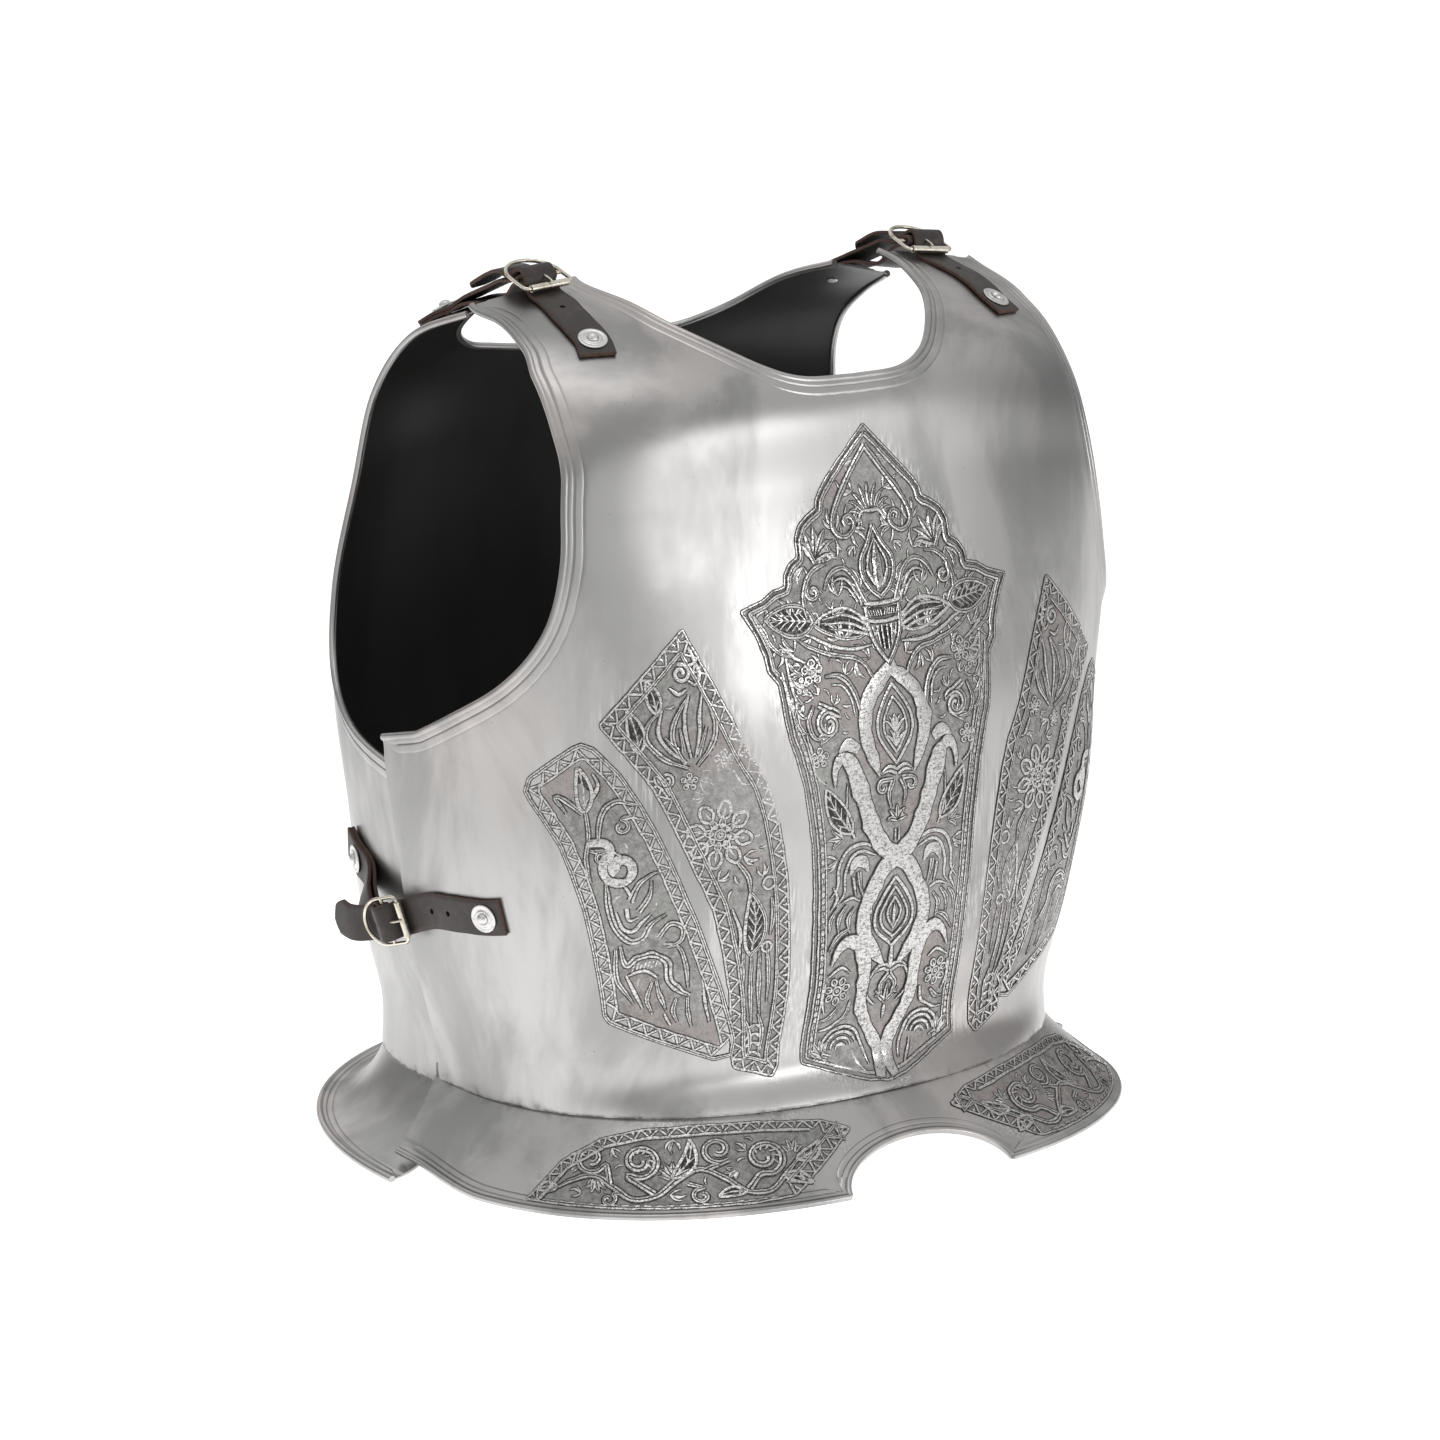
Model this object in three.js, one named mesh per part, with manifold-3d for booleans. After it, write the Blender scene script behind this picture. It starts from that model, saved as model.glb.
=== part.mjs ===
// Steel breastplate with its backplate: two riveted body plates, each with a flared waist flange,
// hung together by four buckled leather straps. Millimetres, +Z up, front towards -Y, the wearer's
// left towards +X. The assembly stands on its two flange rims, which lie in z = 0.

import * as THREE from 'three';
import { mergeVertices } from 'three/addons/utils/BufferGeometryUtils.js';
import Module from 'manifold-3d';

const wasm = await Module();
wasm.setup();

// ---------------------------------------------------------------- driving dimensions
const PLATE = 1.2; // thickness of the steel sheet
const GAP = 0.3; // clearance kept between touching pieces
const BED = 0.9; // clearance of leather over the curved sheet
const NEST = 5; // how far the backplate sits inside the breastplate where they overlap
const LIP_INSET = 2.2; // outer face of a flange lip behind the outer face of its body plate
const BEAD = 1.9; // radius of the rolled edges
const STRAP = { width: 19, thickness: 2, tip: 7 };
const BUCKLE = { wire: 1, corner: 2.6, bar: 10 };
const SHOULDER_BUCKLE = { halfWidth: 14.5, depth: 27.5 };
const FLANK_BUCKLE = { halfWidth: 12.3, depth: 25 };
const ROLLER = { radius: 2, bore: 1.35, play: 0.4 };
const PRONG = { wire: 0.8, slot: 1.35, relief: 1.3 };
const RIVET = { shank: 1.7, hole: 2.1, dome: 3.1, rise: 2.2, tail: 3, tailRise: 1 };
const WASHER = { bore: 2.1, radius: 7.4, thickness: 1 };
const HOLE = 1.6; // radius of the punched strap holes

// ---------------------------------------------------------------- tables
/** Turns a short table into objects with named columns. */
function table(columns, rows) {
  return rows.map((row) => Object.fromEntries(columns.map((name, k) => [name, row[k]])));
}

// A level of a plate is half a superellipse from its centre line (mid) to its widest place (side).
const SECTION = ['sideX', 'sideY', 'sideZ', 'midY', 'midZ', 'square'];
const BREAST_LEVELS = table(SECTION, [
  [176, 22, 39, -116, 39, 2.3], // waist seam
  [180, 17, 64, -106, 64, 2.3], // narrowest waist
  [191, 14, 110, -114, 110, 2.3],
  [199, 11, 168, -118, 168, 2.4],
  [204, 10, 221, -116, 229, 2.4], // foot of the arm hole
  [208, 0, 270, -104, 291, 2.6],
  [199, -1, 315, -91, 350, 3.2],
  [188, 7, 358, -80, 401, 3.1], // pit of the neck
  [190, 14, 400, -32, 434, 2.9],
  [192, 23, 430, 23, 454, 1.5], // end of the shoulder
]);
const BACK_LEVELS = table(SECTION, [
  [171, 22, 33, 177, 33, 3.2],
  [175, 17, 64, 171, 64, 3.2],
  [186, 14, 110, 184, 110, 3],
  [194, 11, 168, 193, 168, 2.8],
  [199, 10, 221, 196, 228, 2.9],
  [201, 18, 270, 195, 286, 2.7],
  [190, 27, 317, 187, 343, 2.6],
  [183, 36, 355, 168, 394, 2.6],
  [180, 48, 387, 120, 427, 2.5],
  [177, 60, 404, 60, 448, 1.8],
]);

// Edges of a plate, in degrees round from its own centre line and in levels.
const EDGE = ['angle', 'level'];
const BREAST = {
  facing: 1,
  levels: BREAST_LEVELS,
  other: BACK_LEVELS,
  sideAngle: 95.3, // where the side edge meets the waist seam
  neck: table(EDGE, [[0, 7.02], [9, 7.05], [15, 7.22], [20, 7.53], [24.5, 7.93], [28, 8.4], [34.5, 9]]),
  arm: table(EDGE, [
    [99.5, 4.03], [78, 4.38], [62, 4.7], [52.5, 5.12], [48.3, 5.7], [48.5, 6.4], [50.8, 7],
    [50, 7.55], [48.5, 7.95], [52, 8.5], [64.5, 9],
  ]),
};
const BACK = {
  facing: -1,
  levels: BACK_LEVELS,
  other: BREAST_LEVELS,
  sideAngle: 90,
  neck: table(EDGE, [[0, 6.9], [8, 6.92], [16, 7], [22.5, 7.12], [28, 7.45], [31, 8], [35.5, 8.9]]),
  arm: table(EDGE, [
    [92, 3.62], [79, 3.7], [66, 3.87], [57, 4.2], [52, 4.7], [51, 5.4], [50.5, 6.2],
    [49.5, 7], [48.7, 7.6], [49.8, 8.2], [51.5, 8.9],
  ]),
};
// The tables measure Y from between the arm holes; the middle of the stand is this far behind.
const STAND_CENTRE = 38.5;
const GRID = { sideRows: 6, armRows: 11, centreRows: 11, columns: 10 };

// Flange rims: a superellipse at floor level. A lap lifts the end of the upper rim over the lower.
const BREAST_FLANGE = {
  plate: BREAST, sideX: 207.5, sideY: 8, midY: -152.5, square: 2.4, lap: 7, hollow: 4, reach: 97.5,
  flare: [0.45, 1],  arch: { halfAngle: 14.6, rise: 0.5 },
};
const BACK_FLANGE = {
  plate: BACK, sideX: 222.5, sideY: 6, midY: 227, square: 2.2, lap: 0, hollow: 20, reach: 89,
  flare: [0.3, 0.6, 0.82, 1],  arch: null,
};

// ---------------------------------------------------------------- small geometry helpers
const vec = (x, y, z) => new THREE.Vector3(x, y, z);

/** Gathers triangles and turns them into one indexed body. */
class Skin {
  constructor() {
    this.points = [];
  }

  quad(a, b, c, d, flip = false) {
    const order = flip ? [a, c, b, a, d, c] : [a, b, c, a, c, d];
    for (const p of order) this.points.push(p.x, p.y, p.z);
  }

  triangle(a, b, c, flip = false) {
    for (const p of flip ? [a, c, b] : [a, b, c]) this.points.push(p.x, p.y, p.z);
  }

  geometry() {
    const geometry = new THREE.BufferGeometry();
    geometry.setAttribute('position', new THREE.Float32BufferAttribute(this.points, 3));
    return mergeVertices(geometry, 1e-4);
  }
}

/** A closed body through loops of points of equal count, capped at both ends or joined round. */
function loft(loops, closed = false) {
  const skin = new Skin();
  const count = loops[0].length;
  const spans = closed ? loops.length : loops.length - 1;
  for (let i = 0; i < spans; i += 1) {
    const low = loops[i];
    const high = loops[(i + 1) % loops.length];
    for (let k = 0; k < count; k += 1) {
      const next = (k + 1) % count;
      skin.quad(low[k], low[next], high[next], high[k]);
    }
  }
  if (!closed) {
    const last = loops[loops.length - 1];
    for (let k = 1; k < count - 1; k += 1) {
      skin.triangle(loops[0][0], loops[0][k + 1], loops[0][k]);
      skin.triangle(last[0], last[k], last[k + 1]);
    }
  }
  return facingOut(skin.geometry());
}

/** Turns the faces of a closed body to point out. */
function facingOut(geometry) {
  const p = geometry.attributes.position;
  const index = geometry.index.array;
  const a = vec(0, 0, 0);
  const b = vec(0, 0, 0);
  const c = vec(0, 0, 0);
  let volume = 0;
  for (let k = 0; k < index.length; k += 3) {
    a.fromBufferAttribute(p, index[k]);
    b.fromBufferAttribute(p, index[k + 1]);
    c.fromBufferAttribute(p, index[k + 2]);
    volume += a.dot(b.cross(c));
  }
  if (volume < 0) flip(geometry);
  return geometry;
}

/** Reverses the winding of an indexed geometry. */
function flip(geometry) {
  const index = geometry.index.array;
  for (let k = 0; k < index.length; k += 3) [index[k + 1], index[k + 2]] = [index[k + 2], index[k + 1]];
  return geometry;
}

/** The same body on the wearer's other side. */
function mirrored(geometry) {
  return flip(geometry.clone().scale(-1, 1, 1));
}

function toManifold(geometry) {
  const bare = geometry.clone();
  bare.deleteAttribute('normal');
  bare.deleteAttribute('uv');
  const merged = mergeVertices(bare, 1e-4);
  return new wasm.Manifold(new wasm.Mesh({
    numProp: 3,
    vertProperties: new Float32Array(merged.attributes.position.array),
    triVerts: new Uint32Array(merged.index.array),
  }));
}

function fromManifold(manifold) {
  const mesh = manifold.getMesh();
  const geometry = new THREE.BufferGeometry();
  geometry.setAttribute('position', new THREE.BufferAttribute(new Float32Array(mesh.vertProperties), 3));
  geometry.setIndex(Array.from(mesh.triVerts));
  return geometry;
}

/** Adds and cuts closed bodies. */
function combine(base, { add = [], cut = [] }) {
  let solid = toManifold(base);
  for (const part of add) solid = solid.add(toManifold(part));
  for (const part of cut) solid = solid.subtract(toManifold(part));
  return fromManifold(solid);
}

/** Catmull-Rom value between b and c. */
function spline(a, b, c, d, t) {
  const slope = (c - a) * t;
  const square = (2 * a - 5 * b + 4 * c - d) * t * t;
  const cube = (3 * b - a - 3 * c + d) * t * t * t;
  return 0.5 * (2 * b + slope + square + cube);
}

/** All columns of a table at a fractional row; the first and last spans run on in a straight line. */
function sample(rows, at) {
  const last = rows.length - 1;
  const k = Math.min(Math.max(Math.floor(at), 0), last - 1);
  const read = (row, name) => {
    if (row < 0) return 2 * rows[0][name] - rows[1][name];
    if (row > last) return 2 * rows[last][name] - rows[last - 1][name];
    return rows[row][name];
  };
  const out = {};
  for (const name of Object.keys(rows[0])) {
    out[name] = spline(read(k - 1, name), read(k, name), read(k + 1, name), read(k + 2, name), at - k);
  }
  return out;
}

/** Unit superellipse: how far out and how far forward a direction reaches. */
function superellipse(degrees, square) {
  const angle = THREE.MathUtils.degToRad(Math.abs(degrees));
  const out = Math.sin(angle);
  const forward = Math.cos(angle);
  const reach = (Math.abs(out) ** square + Math.abs(forward) ** square) ** (1 / square);
  return { out: (out / reach) * Math.sign(degrees), forward: forward / reach };
}

// ---------------------------------------------------------------- body plates
/** A point of a plate's outer face. Past its widest place a plate follows the other plate's curve. */
function platePoint(plate, level, angle) {
  const own = sample(plate.levels, level);
  if (Math.abs(angle) <= 90) {
    const { out, forward } = superellipse(angle, own.square);
    return vec(
      own.sideX * out,
      own.sideY + (own.midY - own.sideY) * forward,
      own.sideZ + (own.midZ - own.sideZ) * forward,
    );
  }
  const other = sample(plate.other, level);
  const { out, forward } = superellipse(angle, other.square);
  return vec(own.sideX * out, own.sideY - (other.midY - other.sideY + NEST) * forward, own.sideZ);
}

/** Outward unit normal of a plate's face. */
function plateNormal(plate, level, angle) {
  const stepAngle = 0.5;
  const stepLevel = 0.02;
  const across = platePoint(plate, level, angle + stepAngle).sub(platePoint(plate, level, angle - stepAngle));
  const up = platePoint(plate, level + stepLevel, angle).sub(platePoint(plate, level - stepLevel, angle));
  return across.cross(up).multiplyScalar(plate.facing).normalize();
}

/** Both faces of the sheet at one place. */
function sheetAt(plate, level, angle) {
  const outer = platePoint(plate, level, angle);
  const inner = outer.clone().addScaledVector(plateNormal(plate, level, angle), -PLATE);
  if (angle === 0) inner.setX(0);
  return { outer, inner };
}

/** Edge rows of one half of a plate, waist to shoulder: the inner and the outer end of each row. */
function plateRows(plate) {
  const rows = [];
  const total = GRID.sideRows + GRID.armRows;
  for (let i = 0; i <= total; i += 1) {
    const side = i / GRID.sideRows;
    const arm = ((i - GRID.sideRows) / GRID.armRows) * (plate.arm.length - 1);
    const corner = plate.arm[0];
    const outer = i <= GRID.sideRows
      ? { angle: plate.sideAngle + (corner.angle - plate.sideAngle) * side, level: corner.level * side }
      : sample(plate.arm, arm);
    const neck = ((i - GRID.centreRows) / (total - GRID.centreRows)) * (plate.neck.length - 1);
    const inner = i <= GRID.centreRows
      ? { angle: 0, level: (plate.neck[0].level * i) / GRID.centreRows }
      : sample(plate.neck, neck);
    rows.push({ inner, outer });
  }
  return rows;
}

/** The sheet of a body plate, both halves joined at the centre line. */
function plateSheet(plate) {
  const skin = new Skin();
  for (const side of [1, -1]) {
    const turned = side * plate.facing < 0;
    const grid = plateRows(plate).map(({ inner, outer }) => {
      const row = [];
      for (let j = 0; j <= GRID.columns; j += 1) {
        const t = j / GRID.columns;
        const angle = inner.angle + (outer.angle - inner.angle) * t;
        row.push(sheetAt(plate, inner.level + (outer.level - inner.level) * t, side * angle));
      }
      return row;
    });
    const top = grid.length - 1;
    const end = GRID.columns;
    for (let i = 0; i < top; i += 1) {
      for (let j = 0; j < end; j += 1) {
        const [a, b, c, d] = [grid[i][j], grid[i][j + 1], grid[i + 1][j + 1], grid[i + 1][j]];
        skin.quad(a.outer, b.outer, c.outer, d.outer, turned);
        skin.quad(a.inner, d.inner, c.inner, b.inner, turned);
      }
      const [low, high] = [grid[i][end], grid[i + 1][end]];
      skin.quad(low.outer, low.inner, high.inner, high.outer, turned);
      if (i >= GRID.centreRows) {
        const [foot, head] = [grid[i][0], grid[i + 1][0]];
        skin.quad(foot.outer, head.outer, head.inner, foot.inner, turned);
      }
    }
    for (let j = 0; j < end; j += 1) {
      const [a, b] = [grid[0][j], grid[0][j + 1]];
      const [c, d] = [grid[top][j], grid[top][j + 1]];
      skin.quad(a.outer, a.inner, b.inner, b.outer, turned);
      skin.quad(c.outer, d.outer, d.inner, c.inner, turned);
    }
  }
  return skin.geometry();
}

/** A rolled edge: a bar of six-sided section along points in the middle of the sheet. */
function bead(points, steps) {
  const hexagon = new THREE.Shape();
  for (let k = 0; k < 6; k += 1) {
    const turn = (Math.PI * k) / 3;
    const move = k === 0 ? 'moveTo' : 'lineTo';
    hexagon[move](BEAD * Math.cos(turn), BEAD * Math.sin(turn));
  }
  const path = new THREE.CatmullRomCurve3(points);
  return new THREE.ExtrudeGeometry(hexagon, { steps, extrudePath: path, bevelEnabled: false });
}

/** Points along a plate's edge, in the middle of its sheet. */
function edgePoints(plate, edge, side, count) {
  const points = [];
  for (let k = 0; k <= count; k += 1) {
    const { angle, level } = sample(edge, (k / count) * (edge.length - 1));
    const { outer, inner } = sheetAt(plate, level, side * angle);
    points.push(outer.lerp(inner, 0.5));
  }
  return points;
}

/** Neck and arm-hole beads of a plate. */
function plateBeads(plate) {
  const leftNeck = edgePoints(plate, plate.neck, 1, 12);
  const rightNeck = edgePoints(plate, plate.neck, -1, 12);
  const neck = [...rightNeck.reverse(), ...leftNeck.slice(1)];
  return [
    bead(neck, 20),
    bead(edgePoints(plate, plate.arm, 1, 20), 20),
    bead(edgePoints(plate, plate.arm, -1, 20), 20),
  ];
}

/** A straight drill of the given radius through a plate. */
function drill(seat, radius, from, to) {
  const geometry = new THREE.CylinderGeometry(radius, radius, to - from, 10);
  geometry.translate(0, (to + from) / 2, 0);
  return alongNormal(geometry, seat);
}

/** Stands a body made along +Y on a seat, so that +Y becomes the seat's normal. */
function alongNormal(geometry, { point, normal }) {
  const turn = new THREE.Quaternion().setFromUnitVectors(vec(0, 1, 0), normal);
  return geometry.applyQuaternion(turn).translate(point.x, point.y, point.z);
}

/** A place on the faceted sheet of a plate: its point and the outward normal there. */
function seatOn(plate, level, angle) {
  const normal = plateNormal(plate, level, angle);
  const start = platePoint(plate, level, angle).addScaledVector(normal, STRAP.width);
  const ray = new THREE.Raycaster(start, normal.clone().negate());
  const [hit] = ray.intersectObject(new THREE.Mesh(plate.sheet));
  return { point: hit.point, normal };
}

/** A body plate with its rolled edges and rivet holes. */
function bodyPlate(plate, seats) {
  const cut = seats.flatMap((seat) => {
    const hole = drill(seat, RIVET.hole, -PLATE - 2, 2);
    return [hole, mirrored(mergeVertices(hole))];
  });
  return combine(plate.sheet, { add: plateBeads(plate), cut });
}

// ---------------------------------------------------------------- waist flanges
/** A point of a flange: below s = 0 the lip inside the body plate, from 0 to 1 the flare to the rim. */
function flangePoint(flange, angle, s) {
  const seam = (level) => {
    const normal = plateNormal(flange.plate, level, angle);
    return platePoint(flange.plate, level, angle).addScaledVector(normal, -LIP_INSET);
  };
  if (s < 0) return seam(-0.3 * s);
  const top = seam(0);
  const { out, forward } = superellipse(angle, flange.square);
  const lift = flange.lap * THREE.MathUtils.smoothstep(Math.abs(angle), 72, 92);
  const depth = flange.midY - flange.sideY;
  const rim = vec(flange.sideX * out, flange.sideY + depth * forward, BEAD + lift);
  const bend = top.clone().lerp(rim, 0.4);
  bend.z -= flange.hollow;
  return top.multiplyScalar((1 - s) ** 2)
    .addScaledVector(bend, 2 * s * (1 - s))
    .addScaledVector(rim, s * s);
}

/** Columns of a flange in degrees, closer together round its arch. */
function flangeAngles(flange) {
  const { reach, arch } = flange;
  const angles = [];
  const from = arch ? arch.halfAngle : 0;
  for (let k = 0; k <= 5 && arch; k += 1) angles.push(from * Math.sin((k * Math.PI) / 10));
  const start = arch ? 1 : 0;
  for (let k = start; k <= 12; k += 1) angles.push(from + ((reach - from) * k) / 12);
  const right = angles.slice(1).reverse().map((angle) => -angle);
  return [...right, ...angles];
}

/** How far down the flare the sheet reaches: less inside the arch. */
function flangeEnd(flange, angle) {
  const { arch } = flange;
  if (!arch || Math.abs(angle) >= arch.halfAngle) return 1;
  return 1 - arch.rise * Math.sqrt(1 - (angle / arch.halfAngle) ** 2);
}

/** A flange with its lip and a rolled rim with a flat foot. */
function flangeSolid(flange) {
  const step = 0.02;
  const facing = flange.plate.facing;
  const sheet = (angle, s) => {
    const outer = flangePoint(flange, angle, s);
    const across = flangePoint(flange, angle + 0.5, s).sub(flangePoint(flange, angle - 0.5, s));
    const up = flangePoint(flange, angle, s - step).sub(flangePoint(flange, angle, s + step));
    const normal = across.cross(up).multiplyScalar(facing).normalize();
    return { outer, inner: outer.clone().addScaledVector(normal, -PLATE) };
  };
  const angles = flangeAngles(flange);
  const grid = angles.map((angle) => {
    const end = flangeEnd(flange, angle);
    return [-1, 0, ...flange.flare.map((s) => s * end)].map((s) => sheet(angle, s));
  });
  const skin = new Skin();
  const last = grid[0].length - 1;
  const turned = facing < 0;
  for (let i = 0; i < grid.length - 1; i += 1) {
    for (let j = 0; j < last; j += 1) {
      const [a, b, c, d] = [grid[i][j], grid[i][j + 1], grid[i + 1][j + 1], grid[i + 1][j]];
      skin.quad(a.outer, b.outer, c.outer, d.outer, turned);
      skin.quad(a.inner, d.inner, c.inner, b.inner, turned);
    }
    const [low, high] = [grid[i], grid[i + 1]];
    skin.quad(low[0].outer, high[0].outer, high[0].inner, low[0].inner, turned);
    skin.quad(low[last].outer, low[last].inner, high[last].inner, high[last].outer, turned);
  }
  for (const [column, back] of [[grid[0], false], [grid[grid.length - 1], true]]) {
    for (let j = 0; j < last; j += 1) {
      const [a, b] = [column[j], column[j + 1]];
      skin.quad(a.outer, a.inner, b.inner, b.outer, back !== turned);
    }
  }
  const add = rimRuns(flange, angles).map((run) => loft(run));
  if (flange.arch) {
    const inArch = angles.filter((angle) => Math.abs(angle) <= flange.arch.halfAngle + 0.01);
    add.push(bead(inArch.map((angle) => flangePoint(flange, angle, flangeEnd(flange, angle))), 16));
  }
  return combine(facingOut(skin.geometry()), { add });
}

/** Section loops of the rolled rim, one run for each stretch that the arch leaves. */
function rimRuns(flange, angles) {
  const loopAt = (angle) => {
    const middle = flangePoint(flange, angle, 1);
    const away = flangePoint(flange, angle, 1).sub(flangePoint(flange, angle, 0)).setZ(0).normalize();
    const loop = [];
    for (let k = 0; k < 8; k += 1) {
      const turn = (Math.PI * (2 * k + 1)) / 8;
      const size = BEAD / Math.cos(Math.PI / 8);
      const point = middle.clone().addScaledVector(away, size * Math.cos(turn));
      point.z += size * Math.sin(turn);
      loop.push(point);
    }
    return loop;
  };
  if (!flange.arch) return [angles.map(loopAt)];
  const left = angles.filter((angle) => angle >= flange.arch.halfAngle - 0.01);
  const right = angles.filter((angle) => angle <= 0.01 - flange.arch.halfAngle);
  return [left.map(loopAt), right.map(loopAt)];
}

// ---------------------------------------------------------------- straps
/** Local axes of a buckle: along runs from the roller towards the backplate, out away from the body. */
class BuckleSeat {
  constructor(size, origin, along, out) {
    this.size = size;
    this.origin = origin;
    this.along = along.clone().normalize();
    this.across = this.along.clone().cross(out).normalize();
    this.out = this.across.clone().cross(this.along).normalize();
  }

  at(along, out, across = 0) {
    return this.origin.clone()
      .addScaledVector(this.along, along)
      .addScaledVector(this.out, out)
      .addScaledVector(this.across, across);
  }

  /** Carries a body made with X along, Y across and Z out to the seat. */
  place(geometry) {
    const matrix = new THREE.Matrix4().makeBasis(this.along, this.across.clone().negate(), this.out);
    matrix.setPosition(this.origin);
    return geometry.applyMatrix4(matrix);
  }
}

/** Route stops: a strap's middle and its outward direction. */
const onPlate = (plate, level, angle, lift) => {
  const { point, normal } = seatOn(plate, level, angle);
  return { point: point.addScaledVector(normal, lift), out: normal };
};
const free = (x, y, z, out) => ({ point: vec(x, y, z), out });
const inBuckle = (seat, along, out, across = 0) => ({ point: seat.at(along, out, across), out: seat.out });

/** Stops of the buckled strap: under the roller, over the folded strap on the bar, under the frame's end. */
function throughBuckle(seat, across) {
  return table(['along', 'out'], [
    [0, -3.7], [3.6, -1.9], [6.2, 3], [10, 5.5], [13.6, 4], [16.2, 1.1], [18.6, -1.8], [21.5, -2.9], [26, -3],
  ]).map(({ along, out }) => inBuckle(seat, along, out, across));
}

/** A flat strap along stops; a cut tip narrows its last millimetres. */
function strapSolid(stops, steps, tip) {
  const path = new THREE.CatmullRomCurve3(stops.map((stop) => stop.point));
  const length = path.getLength();
  const params = Array.from({ length: steps + 1 }, (_, k) => k / steps);
  if (tip) params.splice(steps, 0, 1 - STRAP.tip / length);
  const loops = params.sort((a, b) => a - b).map((t) => {
    const at = t * (stops.length - 1);
    const k = Math.min(Math.floor(at), stops.length - 2);
    const out = stops[k].out.clone().lerp(stops[k + 1].out, at - k);
    const tangent = path.getTangent(t);
    const across = tangent.clone().cross(out).normalize();
    const normal = across.clone().cross(tangent).normalize();
    const half = (STRAP.width / 2) * (tip && t === 1 ? 0.45 : 1);
    const thick = STRAP.thickness / 2;
    const middle = path.getPoint(t);
    return [[1, 1], [-1, 1], [-1, -1], [1, -1]].map(([w, h]) => middle.clone()
      .addScaledVector(across, w * half)
      .addScaledVector(normal, h * thick));
  });
  return loft(loops);
}

/** The doubled strap of the backplate, folded round the buckle's bar and held by one rivet. */
function foldedStrap(upper, seat, lower, steps) {
  const fold = [];
  const radius = BUCKLE.wire + GAP + STRAP.thickness / 2 + 0.1;
  for (let degrees = 90; degrees <= 270; degrees += 30) {
    const turn = THREE.MathUtils.degToRad(degrees);
    const out = seat.out.clone().multiplyScalar(Math.sin(turn)).addScaledVector(seat.along, Math.cos(turn));
    const point = seat.at(BUCKLE.bar + radius * Math.cos(turn), radius * Math.sin(turn));
    fold.push({ point, out });
  }
  const turned = lower.map(({ point, out }) => ({ point, out: out.clone().negate() }));
  return strapSolid([...upper, ...fold, ...turned], steps, false);
}

// ---------------------------------------------------------------- buckles
/** A round wire along points, with flat ends or joined round. */
function wireAlong(path, radius, sides, steps, closed = false) {
  const section = new THREE.Shape();
  for (let k = 0; k < sides; k += 1) {
    const turn = (2 * Math.PI * k) / sides;
    const move = k === 0 ? 'moveTo' : 'lineTo';
    section[move](radius * Math.cos(turn), radius * Math.sin(turn));
  }
  const frames = path.computeFrenetFrames(steps, closed);
  const ring = section.getPoints();
  const spans = closed ? steps : steps + 1;
  const loops = Array.from({ length: spans }, (_, k) => {
    const middle = path.getPointAt(k / steps);
    return ring.slice(0, sides).map((p) => middle.clone()
      .addScaledVector(frames.normals[k], p.x)
      .addScaledVector(frames.binormals[k], p.y));
  });
  return loft(loops, closed);
}

/** The D-shaped frame with its centre bar, in the buckle's own axes. */
function buckleFrame(seat) {
  const { corner, bar, wire } = BUCKLE;
  const { halfWidth: half, depth } = seat.size;
  const outline = new THREE.Path();
  outline.moveTo(0, 0);
  outline.lineTo(0, half - corner);
  outline.absarc(corner, half - corner, corner, Math.PI, Math.PI / 2, true);
  outline.lineTo(depth - half, half);
  outline.absarc(depth - half, 0, half, Math.PI / 2, -Math.PI / 2, true);
  outline.lineTo(corner, -half);
  outline.absarc(corner, corner - half, corner, -Math.PI / 2, -Math.PI, true);
  outline.lineTo(0, 0);
  const points = outline.getSpacedPoints(36).slice(0, -1).map((p) => vec(p.x, p.y, 0));
  const loop = new THREE.CatmullRomCurve3(points, true);
  const crossbar = new THREE.CylinderGeometry(wire, wire, 2 * half, 8).translate(bar, 0, 0);
  return seat.place(combine(wireAlong(loop, wire, 6, 28, true), { add: [crossbar] }));
}

/** The sheet roller on the frame's straight side. */
function rollerTube(seat) {
  const shape = new THREE.Shape().absarc(0, 0, ROLLER.radius, 0, 2 * Math.PI);
  shape.holes.push(new THREE.Path().absarc(0, 0, ROLLER.bore, 0, 2 * Math.PI, true));
  const length = 2 * (seat.size.halfWidth - BUCKLE.corner - ROLLER.play);
  const tube = new THREE.ExtrudeGeometry(shape, { depth: length, bevelEnabled: false, curveSegments: 10 });
  tube.translate(0, 0, -length / 2).rotateX(Math.PI / 2);
  return seat.place(tube);
}

/** The prong's line: a loop round the bar, then over to the roller. */
function prongPath(seat) {
  const radius = BUCKLE.wire + GAP + PRONG.wire;
  const points = [];
  for (let degrees = -160; degrees <= 90; degrees += 25) {
    const turn = THREE.MathUtils.degToRad(degrees);
    points.push(seat.at(BUCKLE.bar + radius * Math.cos(turn), radius * Math.sin(turn)));
  }
  const rest = ROLLER.radius + GAP + PRONG.wire + 0.1;
  points.push(seat.at(BUCKLE.bar / 2, 2.9), seat.at(0, rest), seat.at(-1.6, rest));
  return new THREE.CatmullRomCurve3(points);
}

// ---------------------------------------------------------------- rivets
/** A domed rivet through a stack of leather and the plate, standing on a seat. */
function rivetBody(seat, stack) {
  const { shank, dome, rise, tail, tailRise } = RIVET;
  const foot = -PLATE - 2 * GAP;
  const head = BED + stack + WASHER.thickness + GAP;
  const profile = [
    [0, foot - tailRise], [tail, foot - tailRise], [tail, foot], [shank, foot],
    [shank, head], [dome, head], [0.93 * dome, head + 0.35 * rise],
    [0.7 * dome, head + 0.7 * rise], [0.38 * dome, head + 0.92 * rise], [0, head + rise],
  ].map(([r, z]) => new THREE.Vector2(r, z));
  return alongNormal(new THREE.LatheGeometry(profile, 10), seat);
}

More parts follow.
